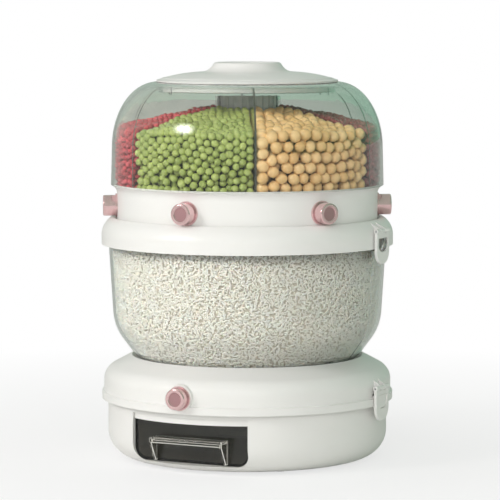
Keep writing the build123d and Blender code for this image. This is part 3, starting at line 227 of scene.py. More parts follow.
class EffectGroups:
    """The shader node groups that several finishes share."""

    def __init__(self) -> None:
        """Builds each group once."""
        self.mould = self.build_mould()
        self.face = self.build_face()

    @staticmethod
    def shell(name: str, values: dict[str, float], outputs: tuple[str, ...]) -> Graph:
        """Makes an empty group with its sockets: the vector Place, then values.

        Args:
            name: the group's name.
            values: names of the value inputs and their defaults.
            outputs: names of the value outputs.

        Returns:
            The group's graph.
        """
        tree = bpy.data.node_groups.new(name, "ShaderNodeTree")
        tree.interface.new_socket("Place", in_out="INPUT", socket_type="NodeSocketVector")
        for label, value in values.items():
            socket = tree.interface.new_socket(label, in_out="INPUT", socket_type="NodeSocketFloat")
            socket.default_value = value
        for label in outputs:
            tree.interface.new_socket(label, in_out="OUTPUT", socket_type="NodeSocketFloat")
        return Graph(tree)

    def build_mould(self) -> bpy.types.NodeTree:
        """Builds the moulded skin: a fine height, a broad tone and a soft ripple.

        Returns:
            The group with inputs Place, Fine and Broad and outputs Height, Tone and Ripple.
        """
        graph = self.shell("moulded_skin", {"Fine": 900.0, "Broad": 14.0}, ("Height", "Tone", "Ripple"))
        given = graph.add("NodeGroupInput").outputs
        ripple = graph.math("MULTIPLY", given["Broad"], 3.0)
        noises = {"Height": (given["Fine"], 2.0), "Tone": (given["Broad"], 3.0), "Ripple": (ripple, 0.0)}
        made = {}
        for label, (scale, detail) in noises.items():
            noise = graph.add("TexNoise", {"Vector": given["Place"], "Scale": scale, "Detail": detail})
            made[label] = noise.outputs[0]
        graph.add("NodeGroupOutput", made)
        return graph.tree

    def build_face(self) -> bpy.types.NodeTree:
        """Builds the mask of a push button's dished face.

        The turn about Z is folded into one sixth of a circle, so the six buttons share one mask. It is 1
        where the distance from the button's own axis is under Radius and the reach is over Reach.

        Returns:
            The group with inputs Place, Level, Reach and Radius and the output Mask.
        """
        graph = self.shell("button_face", {"Level": 0.25, "Reach": 0.14, "Radius": 0.007}, ("Mask",))
        given = graph.add("NodeGroupInput").outputs
        parts = graph.add("SeparateXYZ", {0: given["Place"]}).outputs
        turn = graph.math("ADD", graph.math("ARCTAN2", parts["Y"], parts["X"]), 8 * SIXTH)
        folded = graph.math("SUBTRACT", graph.math("MODULO", turn, SIXTH), SIXTH / 2)

        def length(first: bpy.types.NodeSocket, second: bpy.types.NodeSocket) -> bpy.types.NodeSocket:
            """Gives the root of the sum of two squares."""
            squares = [graph.math("POWER", value, 2.0) for value in (first, second)]
            return graph.math("SQRT", graph.math("ADD", *squares))

        radius = length(parts["X"], parts["Y"])
        side = graph.math("MULTIPLY", radius, graph.math("SINE", folded))
        reach = graph.math("MULTIPLY", radius, graph.math("COSINE", folded))
        away = length(side, graph.math("SUBTRACT", parts["Z"], given["Level"]))
        outer = graph.math("ADD", given["Radius"], 0.0002)
        inner = graph.math("SUBTRACT", given["Radius"], 0.0004)
        front = graph.math("GREATER_THAN", reach, given["Reach"])
        mask = graph.math("MULTIPLY", graph.remap(away, outer, inner, 0.0, 1.0), front)
        graph.add("NodeGroupOutput", {"Mask": mask})
        return graph.tree


@dataclass(frozen=True)
class Finish:
    """What every finish has: a name, two tones that the broad noise moves between, and a roughness."""

    name: str
    pale: Colour
    deep: Colour
    roughness: float

    def make(self, groups: EffectGroups) -> bpy.types.Material:
        """Builds the material.

        Args:
            groups: the shared groups.

        Returns:
            The material.
        """
        material = bpy.data.materials.new(self.name)
        graph = Graph.of(material)
        graph.add("OutputMaterial", {"Surface": self.shade(graph, groups)})
        return material

    def shade(self, graph: Graph, groups: EffectGroups) -> bpy.types.NodeSocket:
        """Builds the finish's own shader, which every kind of finish gives.

        Args:
            graph: the material's graph.
            groups: the shared groups.

        Returns:
            The shader.
        """
        raise NotImplementedError(self.name)

    def skin(
        self, graph: Graph, groups: EffectGroups, fine: float, broad: float, stretch: Colour | None = None
    ) -> dict[str, bpy.types.NodeSocket]:
        """Places the moulded skin group on the object coordinates and reads colour and roughness from it.

        Args:
            graph: the material's graph.
            groups: the shared groups.
            fine: scale of the fine texture, per metre.
            broad: scale of the broad tone, per metre.
            stretch: how much finer than that it is along each axis.

        Returns:
            Sockets named place, colour, rough, height and ripple.
        """
        place = graph.add("TexCoord").outputs["Object"]
        if stretch is not None:
            place = graph.add("Mapping", {"Vector": place, "Scale": stretch}).outputs[0]
        node = graph.add("Group", {"Place": place, "Fine": fine, "Broad": broad}, node_tree=groups.mould)
        tone = node.outputs["Tone"]
        return {
            "place": place,
            "colour": graph.mix(tone, rgba(self.pale), rgba(self.deep)),
            "rough": graph.remap(tone, 0.3, 0.7, self.roughness * 0.95, self.roughness * 1.05),
            "height": node.outputs["Height"],
            "ripple": node.outputs["Ripple"],
        }


@dataclass(frozen=True)
class MouldedPlastic(Finish):
    """Opaque moulded plastic with a satin skin."""

    coat: float = 0.0
    texture: float = 0.00001
    glow: float = 0.0

    def shade(self, graph: Graph, groups: EffectGroups) -> bpy.types.NodeSocket:
        """Builds the satin shader, with a little light inside it.

        Args:
            graph: the material's graph.
            groups: the shared groups.

        Returns:
            The shader.
        """
        skin = self.skin(graph, groups, 1400.0, 16.0)
        values = {
            "Base Color": skin["colour"],
            "Roughness": skin["rough"],
            "IOR": 1.47,
            "Subsurface Weight": self.glow,
            "Subsurface Radius": (0.9, 0.85, 0.75),
            "Subsurface Scale": 0.003,
            "Coat Weight": self.coat,
            "Coat Roughness": 0.12,
            "Normal": graph.bump(skin["height"], self.texture, 0.6),
        }
        return graph.add("BsdfPrincipled", values).outputs[0]


@dataclass(frozen=True)
class ClearPlastic(Finish):
    """Clear moulded plastic that refracts, has a faint ripple and lets lamps through.

    The edge colour is painted light: mixed in where the wall is seen at a slant, it darkens and tints it
    in place of the shade and reflections at its limbs. The rim colour, where it has one, is painted shade:
    a dark line on the narrow faces of upright walls that stand out from the axis, past the hub.
    """

    # Painted shade: edge tints the wall at a slant, and rim paints a dark line on narrow faces.
    edge: Colour = (0.5, 0.66, 0.57)
    ior: float = 1.5
    clearness: float = 1.0
    rim: Colour | None = None
    hub: float = 0.045
    ripple: float = 0.00003

    def rim_share(self, graph: Graph) -> bpy.types.NodeSocket:
        """Gives 1 on the narrow faces: those past the hub whose normal is square to the way round the axis.

        Args:
            graph: the material's graph.

        Returns:
            The share of the painted dark line.
        """
        spot = graph.add("TexCoord").outputs
        around = graph.vector("CROSS_PRODUCT", (0.0, 0.0, 1.0), spot["Object"])
        past_hub = graph.math("GREATER_THAN", graph.vector("LENGTH", around), self.hub)
        facing = graph.vector("DOT_PRODUCT", graph.vector("NORMALIZE", around), spot["Normal"])
        square = graph.math("LESS_THAN", graph.math("ABSOLUTE", facing), 0.5)
        return graph.math("MULTIPLY", square, past_hub)

    def shade(self, graph: Graph, groups: EffectGroups) -> bpy.types.NodeSocket:
        """Builds the clear shader, which shadow rays pass in the pale tone.

        Args:
            graph: the material's graph.
            groups: the shared groups.

        Returns:
            The shader.
        """
        skin = self.skin(graph, groups, 500.0, 7.0)
        slant = graph.add("LayerWeight", {"Blend": 0.5}).outputs["Facing"]
        # Painted light: the edge colour is mixed in by slant, darkening and tinting the wall at its limbs.
        values = {
            "Base Color": graph.mix(graph.math("POWER", slant, 3.0), skin["colour"], rgba(self.edge)),
            "Roughness": skin["rough"],
            "IOR": self.ior,
            "Transmission Weight": self.clearness,
            "Normal": graph.bump(skin["ripple"], self.ripple, 0.5),
        }
        shader = graph.add("BsdfPrincipled", values).outputs[0]
        # Painted shade: an opaque dark line on the narrow faces of the walls.
        if self.rim is not None:
            narrow = graph.add("BsdfPrincipled", {"Base Color": rgba(self.rim), "Roughness": 0.35})
            shader = graph.blend(self.rim_share(graph), shader, narrow.outputs[0])
        through = graph.add("BsdfTransparent", {"Color": rgba(self.pale)}).outputs[0]
        return graph.blend(graph.add("LightPath").outputs["Is Shadow Ray"], shader, through)


@dataclass(frozen=True)
class PlatedRose(Finish):
    """Rose metallic plating on a push button, darker and duller in the dished face."""

    dish: Colour
    level: float
    reach: float
    radius: float

    def shade(self, graph: Graph, groups: EffectGroups) -> bpy.types.NodeSocket:
        """Builds the plating's shader.

        Args:
            graph: the material's graph.
            groups: the shared groups.

        Returns:
            The shader.
        """
        skin = self.skin(graph, groups, 1800.0, 60.0)
        sizes = {"Level": self.level * MM, "Reach": self.reach * MM, "Radius": self.radius * MM}
        face = graph.add("Group", {"Place": skin["place"], **sizes}, node_tree=groups.face)
        mask = face.outputs["Mask"]
        values = {
            "Base Color": graph.mix(mask, skin["colour"], rgba(self.dish)),
            "Roughness": graph.math("ADD", skin["rough"], graph.math("MULTIPLY", mask, 0.12)),
            "Metallic": 0.85,
            "Coat Weight": 0.3,
            "Coat Roughness": 0.08,
            "Normal": graph.bump(skin["height"], 0.00001, 0.5),
        }
        return graph.add("BsdfPrincipled", values).outputs[0]


@dataclass(frozen=True)
class BrightSteel(Finish):
    """Drawn bright steel with fine lines along its length."""

    def shade(self, graph: Graph, groups: EffectGroups) -> bpy.types.NodeSocket:
        """Builds the steel's shader.

        Args:
            graph: the material's graph.
            groups: the shared groups.

        Returns:
            The shader.
        """
        skin = self.skin(graph, groups, 900.0, 40.0, (6.0, 0.3, 6.0))
        values = {
            "Base Color": skin["colour"],
            "Roughness": skin["rough"],
            "Metallic": 1.0,
            "Normal": graph.bump(skin["height"], 0.00002, 0.5),
        }
        return graph.add("BsdfPrincipled", values).outputs[0]


@dataclass(frozen=True)
class SeedSkin(Finish):
    """The skin of a dry seed: each seed has its own tone, with mottling over it."""

    mottle: float = 0.25
    coat: float = 0.2
    glow: float = 0.05

    def shade(self, graph: Graph, groups: EffectGroups) -> bpy.types.NodeSocket:
        """Builds the seed's shader from the attribute tone.

        Args:
            graph: the material's graph.
            groups: the shared groups.

        Returns:
            The shader.
        """
        skin = self.skin(graph, groups, 700.0, 160.0)
        own = graph.add("Attribute", attribute_name="tone").outputs["Fac"]
        base = graph.mix(own, rgba(self.pale), rgba(self.deep))
        values = {
            "Base Color": graph.mix(self.mottle, base, skin["colour"]),
            "Roughness": skin["rough"],
            "Subsurface Weight": self.glow,
            "Subsurface Radius": (1.0, 0.7, 0.5),
            "Subsurface Scale": 0.001,
            "Coat Weight": self.coat,
            "Coat Roughness": 0.15,
            "Normal": graph.bump(skin["height"], 0.0001, 0.3),
        }
        return graph.add("BsdfPrincipled", values).outputs[0]


def put_mesh(
    name: str, points: np.ndarray, loops: np.ndarray, starts: np.ndarray, tone: np.ndarray | None = None
) -> bpy.types.Object:
    """Puts whole arrays into a new smooth mesh object.

    Args:
        name: the piece's name.
        points: vertex places in metres, one row each.
        loops: vertex numbers of all faces, one after another.
        starts: where each face begins in loops.
        tone: a value from 0 to 1 for each vertex, kept as the attribute tone.

    Returns:
        The object, at the origin.
    """
    mesh = bpy.data.meshes.new(name)
    mesh.vertices.add(len(points))
    mesh.vertices.foreach_set("co", np.ascontiguousarray(points, np.float32).ravel())
    mesh.loops.add(len(loops))
    mesh.loops.foreach_set("vertex_index", np.ascontiguousarray(loops, np.int32))
    mesh.polygons.add(len(starts))
    mesh.polygons.foreach_set("loop_start", np.ascontiguousarray(starts, np.int32))
    if tone is not None:
        mesh.attributes.new("tone", "FLOAT", "POINT").data.foreach_set("value", tone.astype(np.float32))
    mesh.update(calc_edges=True)
    mesh.validate()
    mesh.shade_smooth()
    piece = bpy.data.objects.new(name, mesh)
    bpy.context.scene.collection.objects.link(piece)
    return piece


def turned_faces(rings: int, around: int) -> tuple[np.ndarray, np.ndarray]:
    """Gives the faces of a turned form: a fan at each pole and rows of quads between the rings.

    Vertex 0 is the upper pole, then come the rings from the top down, and the last is the lower pole.

    Args:
        rings: how many rings lie between the poles.
        around: how many vertices each ring has.

    Returns:
        Vertex numbers of all faces, and where each face begins.
    """
    here = np.arange(around)
    after = (here + 1) % around
    top = np.stack([np.zeros_like(here), 1 + here, 1 + after], 1)
    rows = 1 + around * np.arange(rings - 1)[:, None]
    quads = np.stack([rows + here, rows + around + here, rows + around + after, rows + after], -1)
    low = 1 + around * (rings - 1)
    foot = np.stack([np.full_like(here, low + around), low + after, low + here], 1)
    loops = np.concatenate([top.ravel(), quads.ravel(), foot.ravel()])
    sizes = np.concatenate([np.full(around, 3), np.full(quads.size // 4, 4), np.full(around, 3)])
    return loops, np.concatenate([[0], np.cumsum(sizes)[:-1]])


def turned_points(profile: np.ndarray, around: int) -> np.ndarray:
    """Turns a profile about Z: each point (r, z) gives the ring r cos u, r sin u, z.

    Args:
        profile: rows of r and z from the upper pole to the lower pole, both on the axis.
        around: vertices per ring.

    Returns:
        The vertices, poles first and last.
    """
    turn = np.linspace(0, 2 * math.pi, around, endpoint=False)
    radius, level = profile[1:-1, :1], np.repeat(profile[1:-1, 1:], around, axis=1)
    rings = np.stack([radius * np.cos(turn), radius * np.sin(turn), level], -1).reshape(-1, 3)
    poles = np.array([[0.0, 0.0, profile[0, 1]], [0.0, 0.0, profile[-1, 1]]])
    return np.concatenate([poles[:1], rings, poles[1:]])


def rounded_path(corners: list[tuple[float, float, float]], steps: int = 7) -> np.ndarray:
    """Rounds a path's corners: each is a parabola between its two tangent points.

    Args:
        corners: r, z and the corner's radius.
        steps: points on each rounded corner.

    Returns:
        Rows of r and z along the path.
    """
    share = np.linspace(0, 1, steps)[:, None]
    spots = np.array(corners, float)
    pieces = [spots[:1, :2]]
    for before, corner, after in zip(spots[:-2, :2], spots[1:-1], spots[2:, :2]):
        spot = corner[:2]
        back = (before - spot) / np.linalg.norm(before - spot)
        ahead = (after - spot) / np.linalg.norm(after - spot)
        half = math.acos(float(np.clip(back @ ahead, -1, 1))) / 2
        reach = corner[2] / math.tan(half)
        first, last = spot + back * reach, spot + ahead * reach
        pieces.append((1 - share) ** 2 * first + 2 * share * (1 - share) * spot + share**2 * last)
    pieces.append(spots[-1:, :2])
    return np.concatenate(pieces)


def random_turns(count: int, rng: np.random.Generator) -> np.ndarray:
    """Gives evenly spread random rotations, as unit quaternions written out as matrices.

    Args:
        count: how many.
        rng: the seeded generator.

    Returns:
        One 3 by 3 matrix for each.
    """
    quat = rng.normal(size=(count, 4))
    w, x, y, z = (quat / np.linalg.norm(quat, axis=1, keepdims=True)).T
    rows = [
        [1 - 2 * (y * y + z * z), 2 * (x * y - w * z), 2 * (x * z + w * y)],
        [2 * (x * y + w * z), 1 - 2 * (x * x + z * z), 2 * (y * z - w * x)],
        [2 * (x * z - w * y), 2 * (y * z + w * x), 1 - 2 * (x * x + y * y)],
    ]
    return np.array(rows).transpose(2, 0, 1)


@dataclass(frozen=True)
class SeedForm:
    """One seed: an ellipsoid on a grid of height angle and turn, with closed poles."""

    axes: tuple[float, float, float]
    around: int = 8
    rings: int = 5
    pinch: float = 1.0

    def template(self) -> np.ndarray:
        """Gives the vertices of one seed about its own middle, in millimetres.

        The profile is r = sin(v) to the power of pinch and z = cos(v), scaled by the three half axes.

        Returns:
            The vertices.
        """
        angle = np.linspace(0, math.pi, self.rings + 2)
        profile = np.stack([np.clip(np.sin(angle), 0, 1) ** self.pinch, np.cos(angle)], 1)
        return turned_points(profile, self.around) * np.array(self.axes)

    def scatter(
        self, name: str, places: np.ndarray, turns: np.ndarray, sizes: np.ndarray, tones: np.ndarray
    ) -> bpy.types.Object:
        """Copies the seed to many places in one mesh: place + turn (size × template).

        Args:
            name: the piece's name.
            places: middles in millimetres.
            turns: one rotation matrix each.
            sizes: one scale each.
            tones: one tone each, from 0 to 1.

        Returns:
            The piece.
        """
        shape = self.template()
        corners = len(shape)
        points = np.einsum("nij,vj->nvi", turns * sizes[:, None, None], shape) + places[:, None, :]
        loops, starts = turned_faces(self.rings, self.around)
        copies = np.arange(len(places))[:, None]
        all_loops = (loops[None, :] + copies * corners).ravel()
        all_starts = (starts[None, :] + copies * len(loops)).ravel()
        return put_mesh(name, points.reshape(-1, 3) * MM, all_loops, all_starts, np.repeat(tones, corners))


@dataclass(frozen=True)
class Crop:
    """What fills one compartment: seed half axes, spacing, skin and the painted shade between seeds."""

    label: str
    axes: tuple[float, float, float]
    spacing: float
    pale: Colour
    deep: Colour
    roughness: float
    coat: float
    # Painted shade: the colour of the core that shows between the seeds.
    between: Colour
    mottle: float = 0.2

    def skin(self) -> SeedSkin:
        """Gives the finish of the seeds."""
        return SeedSkin(f"{self.label}_skin", self.pale, self.deep, self.roughness, self.mottle, self.coat)

    def shadow(self) -> MouldedPlastic:
        """Gives the core's painted shade, a dark finish that shows between the seeds."""
        return MouldedPlastic(f"{self.label}_shadow", self.between, tuple(0.6 * v for v in self.between), 0.8)


@dataclass
class GrainHeap:
    """A heap of seeds in one compartment, as seen through the dome and from above.

    The seeds lie in an outer layer over a core, whose dark colour is painted shade. The layer is depth times
    their spacing thick. Two low waves cross the heap's surface, and each has a height, a length along the
    radius and a number of turns.
    """

    sector: Sector
    crop: Crop
    floor: float = 271.0
    hub_radius: float = 33.0
    wall_half: float = 1.1
    lip_radius: float = 130.9
    lip_top: float = 275.0
    crown_centre: float = 90.0
    crown_level: float = 310.65
    crown_width: float = 42.3
    crown_height: float = 62.3
    hub_level: float = 353.0
    wall_level: float = 331.0
    fall_power: float = 1.15
    wave_heights: tuple[float, float] = (1.6, 1.2)
    wave_lengths: tuple[float, float] = (9.0, 17.0)
    wave_turns: tuple[float, float] = (9.0, 7.0)
    depth: float = 1.7
    spare_layer: float = 0.35
    packing: float = 0.66
    start_arc: float = 58.0
    start_inset: float = 0.4
    rounds: int = 90
    push_share: float = 0.45
    largest_sine: float = 0.49
    core_inset: float = 1.05
    core_side: float = 0.6
    core_side_radius: float = 60.0
    core_hub_gap: float = 2.0
    core_steps: int = 14
    core_arms: int = 20
    first_draw: int = 1000

    def wall(self, level: np.ndarray) -> np.ndarray:
        """Gives the dome's inner radius: a straight foot with an elliptical crown over it."""
        lift = np.clip((level - self.crown_level) / self.crown_height, 0, 1)
        crown = self.crown_centre + self.crown_width * np.sqrt(1 - lift**2)
        return np.where(level < self.lip_top + self.crop.spacing / 2, self.lip_radius, crown)

    def top(self, radius: np.ndarray, turn: np.ndarray) -> np.ndarray:
        """Gives the heap's surface: it falls from the hub to the wall, with low waves across it.

        Args:
            radius: distances from the axis.
            turn: angles from the compartment's middle.

        Returns:
            The levels.
        """
        share = np.clip((radius - self.hub_radius) / (self.lip_radius - self.hub_radius), 0, 1)
        phase = self.sector.angle * 3
        near, far = (radius / length for length in self.wave_lengths)
        many, few = (turn * turns for turns in self.wave_turns)
        crossed = self.wave_heights[0] * np.sin(near + phase) * np.cos(many + phase)
        wave = crossed + self.wave_heights[1] * np.cos(far + few)
        return self.hub_level - (self.hub_level - self.wall_level) * share**self.fall_power + wave

    def polar(self, places: np.ndarray) -> tuple[np.ndarray, np.ndarray]:
        """Gives each place's radius and its turn from the compartment's middle."""
        turn = np.arctan2(places[:, 1], places[:, 0]) - self.sector.angle
        return np.hypot(places[:, 0], places[:, 1]), np.arctan2(np.sin(turn), np.cos(turn))

    def hold(self, places: np.ndarray) -> np.ndarray:
        """Moves places back into the compartment's outer layer.

        The layer is bounded by the hub, the dome, the two walls and the heap's surface, and its thickness is
        measured from the dome or from the surface.

        Args:
            places: middles in millimetres.

        Returns:
            The places, all inside.
        """
        half = self.crop.spacing / 2
        radius, turn = self.polar(places)
        level = np.clip(places[:, 2], self.floor + half, self.hub_level)
        radius = np.clip(radius, self.hub_radius + half, self.wall(level) - half)
        spare = SIXTH / 2 - np.arcsin(np.clip((self.wall_half + half) / radius, 0, self.largest_sine))
        turn = np.clip(turn, -spare, spare)
        surface = self.top(radius, turn) - half
        level = np.minimum(level, surface)
        layer = self.depth * self.crop.spacing
        deep = (radius < self.wall(level) - half - layer) & (level < surface - layer)
        level = np.where(deep, surface - layer, level)
        angle = turn + self.sector.angle
        return np.stack([radius * np.cos(angle), radius * np.sin(angle), level], 1)

    def settle(self, rng: np.random.Generator) -> np.ndarray:
        """Spreads seeds through the layer.

        They start at random places, and then each pair closer than the spacing is pushed apart, in rounds.

        Args:
            rng: the seeded generator.

        Returns:
            The middles, in millimetres.
        """
        gap = self.crop.spacing
        arc = SIXTH * self.lip_radius * (self.wall_level - self.floor)
        cap = SIXTH / 2 * (self.lip_radius**2 - self.hub_radius**2)
        layers = self.depth + self.spare_layer
        count = int(self.packing * (arc + cap) * layers / (math.pi / 6 * gap**2))
        on_wall = int(count * arc / (arc + cap))
        turn = rng.uniform(-0.5, 0.5, count) * math.radians(self.start_arc) + self.sector.angle
        radius = np.sqrt(rng.uniform(self.hub_radius**2, self.lip_radius**2, count))
        insets = rng.uniform(self.start_inset, self.depth + self.start_inset, on_wall)
        radius[:on_wall] = self.lip_radius - insets * gap
        level = np.full(count, self.hub_level) - rng.uniform(0, self.depth, count) * gap
        level[:on_wall] = rng.uniform(self.floor, self.wall_level, on_wall)
        places = self.hold(np.stack([radius * np.cos(turn), radius * np.sin(turn), level], 1))
        for _ in range(self.rounds):
            square = (places**2).sum(1)
            apart = np.sqrt(np.maximum(square[:, None] + square[None, :] - 2 * places @ places.T, 1e-6))
            push = np.clip(gap - apart, 0, None) / apart * self.push_share
            np.fill_diagonal(push, 0)
            places = self.hold(places + places * push.sum(1, keepdims=True) - push @ places)
        return places

    def core_mesh(self) -> bpy.types.Object:
        """Makes the core behind the seeds: a closed section in r and z carried along the compartment's arc.

        Returns:
            The piece.
        """
        inset = self.core_inset * self.crop.spacing
        arms = self.core_arms
        side = self.wall_half + self.core_side * self.crop.spacing
        half_turn = SIXTH / 2 - math.asin(side / self.core_side_radius)
        turn = np.linspace(-half_turn, half_turn, arms)
        inner, outer = self.hub_radius + self.core_hub_gap, self.lip_radius - inset
        radius = np.concatenate([np.linspace(outer, inner, self.core_steps), [inner, outer]])
        grid_r = np.broadcast_to(radius[:, None], (len(radius), arms))
        grid_t = np.broadcast_to(turn[None, :], grid_r.shape)
        level = np.array(self.top(grid_r, grid_t) - inset)
        level[self.core_steps :] = self.floor
        angle = grid_t + self.sector.angle
        points = np.stack([grid_r * np.cos(angle), grid_r * np.sin(angle), level], -1).reshape(-1, 3)
        ring = np.arange(len(radius))
        arm = np.arange(arms - 1)
        first = ring[:, None] * arms + arm
        second = np.roll(ring, -1)[:, None] * arms + arm
        quads = np.stack([first, first + 1, second + 1, second], -1).reshape(-1, 4)
        caps = np.concatenate([ring * arms, (ring * arms + arms - 1)[::-1]])
        loops = np.concatenate([quads.ravel(), caps])
        starts = np.concatenate([np.arange(len(quads)) * 4, [quads.size, quads.size + len(ring)]])
        return put_mesh(f"{self.crop.label}_beans_core_{self.sector.label}", points * MM, loops, starts)

    def build(self, groups: EffectGroups) -> list[bpy.types.Object]:
        """Makes the seeds and their core, dresses them and lets them ride on the turning dispenser.

        Args:
            groups: the shared groups.

        Returns:
            The two pieces.
        """
        rng = np.random.default_rng(self.first_draw + self.sector.value)
        places = self.settle(rng)
        count = len(places)
        seeds = SeedForm(self.crop.axes).scatter(
            f"{self.crop.label}_beans_{self.sector.label}",
            places,
            random_turns(count, rng),
            rng.normal(1.0, 0.04, count).clip(0.9, 1.08),
            rng.beta(2, 2, count),
        )
        core = self.core_mesh()
        for piece, finish in ((seeds, self.crop.skin()), (core, self.crop.shadow())):
            piece.data.materials.append(finish.make(groups))
            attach(piece, "dispenser")
        return [seeds, core]


@dataclass
class RiceFill:
    """The rice in the bowl: grains against the wall in four quarters, over a core that fills the bowl."""

    floor: float = 91.8
    flat: float = 37.0
    heel: tuple[float, float, float] = (107.2, 102.4, 12.0)
    waist: tuple[float, float, float] = (130.9, 133.2, 48.0)
    rim: tuple[float, float] = (136.6, 226.0)
    lowest: float = 100.0
    top: float = 224.0
    grain: SeedForm = SeedForm((0.86, 0.8, 2.05), 5, 3, 0.85)
    count: int = 26000
    inset: float = 1.1
    layer: float = 1.6
    turn_shake: float = 0.012
    level_shake: float = 0.8
    tilt: float = 0.22
    core_inset: float = 3.2
    core_drop: float = 2.0
    core_around: int = 96
    first_draw: int = 77

    def profile(self) -> np.ndarray:
        """Gives the bowl's inside from its floor up to the rim, without the floor's middle."""
        path = [(0.0, self.floor, 0.0), (self.flat, self.floor, 1.0), self.heel, self.waist, (*self.rim, 0.0)]
        return rounded_path(path)[1:]

    def grains(self, rng: np.random.Generator, skin: bpy.types.Material) -> list[bpy.types.Object]:
        """Lays the grains against the wall.

        Grain i lies at turn i times the golden angle and at an evenly spaced level, shaken a little. Its long
        axis lies near the wall's tangent plane at a random turn, tilted out by a small random angle.

        Args:
            rng: the seeded generator.
            skin: the grains' material.

        Returns:
            One piece for each quarter of the bowl.
        """
        radii, levels = self.profile().T
        number = np.arange(self.count)
        turn = number * math.pi * (3 - math.sqrt(5)) + rng.normal(0, self.turn_shake, self.count)
        turn %= 2 * math.pi
        level = self.lowest + (self.top - self.lowest) * (number + rng.uniform(0, 1, self.count)) / self.count
        level = np.clip(level + rng.normal(0, self.level_shake, self.count), self.lowest, self.top)
        radius = np.interp(level, levels, radii) - self.inset - rng.uniform(0, self.layer, self.count)
        slope = np.interp(level, levels, np.arctan2(np.gradient(radii), np.gradient(levels)))
        along = np.stack([-np.sin(turn), np.cos(turn), np.zeros(self.count)], 1)
        upward = np.stack([np.sin(slope) * np.cos(turn), np.sin(slope) * np.sin(turn), np.cos(slope)], 1)
        outward = np.cross(along, upward)
        spin = rng.uniform(0, math.pi, self.count)[:, None]
        tilt = rng.normal(0, self.tilt, self.count)[:, None]
        lying = np.cos(spin) * along + np.sin(spin) * upward
        length = np.cos(tilt) * lying + np.sin(tilt) * outward
        across = np.cross(outward, lying)
        turns = np.stack([np.cross(length, across), across, length], 2)
        places = np.stack([radius * np.cos(turn), radius * np.sin(turn), level], 1)
        sizes = rng.normal(1.0, 0.06, self.count).clip(0.85, 1.12)
        tones = rng.beta(1.6, 2.2, self.count)
        pieces = []
        for quarter in range(4):
            chosen = (turn * 2 / math.pi).astype(int) % 4 == quarter
            piece = self.grain.scatter(
                f"rice_grains_{quarter + 1}", places[chosen], turns[chosen], sizes[chosen], tones[chosen]
            )
            piece.data.materials.append(skin)
            pieces.append(piece)
        return pieces

    def core(self, finish: bpy.types.Material) -> bpy.types.Object:
        """Makes the filling behind the grains by turning the bowl's inner profile, set in from the wall.

        Args:
            finish: the core's material.

        Returns:
            The piece.
        """
        path = self.profile()
        top = self.top - self.core_drop
        edge = [[np.interp(top, path[:, 1], path[:, 0]), top]]
        wall = np.concatenate([edge, path[path[:, 1] < top][::-1]]) - np.array([self.core_inset, 0.0])
        outline = np.concatenate([[[0.0, top]], wall, [[0.0, self.floor]]])
        outline[:, 0] = np.maximum(outline[:, 0], 0.0)
        loops, starts = turned_faces(len(outline) - 2, self.core_around)
        piece = put_mesh("rice_core", turned_points(outline, self.core_around) * MM, loops, starts)
        piece.data.materials.append(finish)
        return piece

    def build(self, groups: EffectGroups) -> list[bpy.types.Object]:
        """Makes the rice and lets it ride on the base.

        Args:
            groups: the shared groups.

        Returns:
            The pieces.
        """
        skin = SeedSkin("rice_skin", (0.97, 0.94, 0.865), (0.92, 0.885, 0.80), 0.42, 0.2, 0.1, 0.3)
        # Painted shade: the darker core shows between the grains as their shade.
        filling = MouldedPlastic("rice_shadow", (0.72, 0.66, 0.56), (0.60, 0.545, 0.455), 0.8)
        pieces = self.grains(np.random.default_rng(self.first_draw), skin.make(groups))
        pieces.append(self.core(filling.make(groups)))
        for piece in pieces:
            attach(piece, "base")
        return pieces


@dataclass
class CoilSpring:
    """A button's return spring: a wire carried along a helix, which rides on its button."""

    node: str
    body: str
    joint: str
    outward: np.ndarray
    level: float
    inner: float
    outer: float
    stroke: float
    coil: float = 5.6
    wire: float = 0.7
    turns: float = 7.5
    closed_share: float = 0.07
    steps_per_turn: int = 26
    sides: int = 8

    def build(self, finish: bpy.types.Material) -> bpy.types.Object:
        """Makes the wire: a circle of the wire's radius carried along a helix about the button's axis.

        The path is coil cos t and coil sin t across the axis and an even climb along it, with flat ends. The
        circle lies in the plane of the path's outward and binormal directions.

        Args:
            finish: the wire's material.

        Returns:
            The piece, which stands for the plain sleeve.
        """
        steps = int(self.turns * self.steps_per_turn)
        share = np.linspace(0, 1, steps)
        turn = share * self.turns * 2 * math.pi
        rise = np.clip((share - self.closed_share) / (1 - 2 * self.closed_share), 0, 1)
        along = self.inner + self.wire + (self.outer - self.inner - 2 * self.wire) * rise
        axis, up = self.outward, np.array([0.0, 0.0, 1.0])
        spoke = np.cos(turn)[:, None] * np.cross(up, axis) + np.sin(turn)[:, None] * up
        path = along[:, None] * axis + self.coil * spoke + self.level * up
        ahead = np.gradient(path, axis=0)
        ahead /= np.linalg.norm(ahead, axis=1, keepdims=True)
        third = np.cross(ahead, spoke)
        third /= np.linalg.norm(third, axis=1, keepdims=True)
        first = np.cross(third, ahead)
        around = np.linspace(0, 2 * math.pi, self.sides, endpoint=False)[None, :, None]
        ring = np.cos(around) * first[:, None, :] + np.sin(around) * third[:, None, :]
        tube = (path[:, None, :] + self.wire * ring).reshape(-1, 3)
        points = np.concatenate([path[:1], tube, path[-1:]])
        loops, starts = turned_faces(steps, self.sides)
        piece = put_mesh(f"coil_{self.node}", points * MM, loops, starts)
        piece.data.materials.append(finish)
        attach(piece, self.body)
        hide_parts(self.node)
        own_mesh(piece)
        return piece


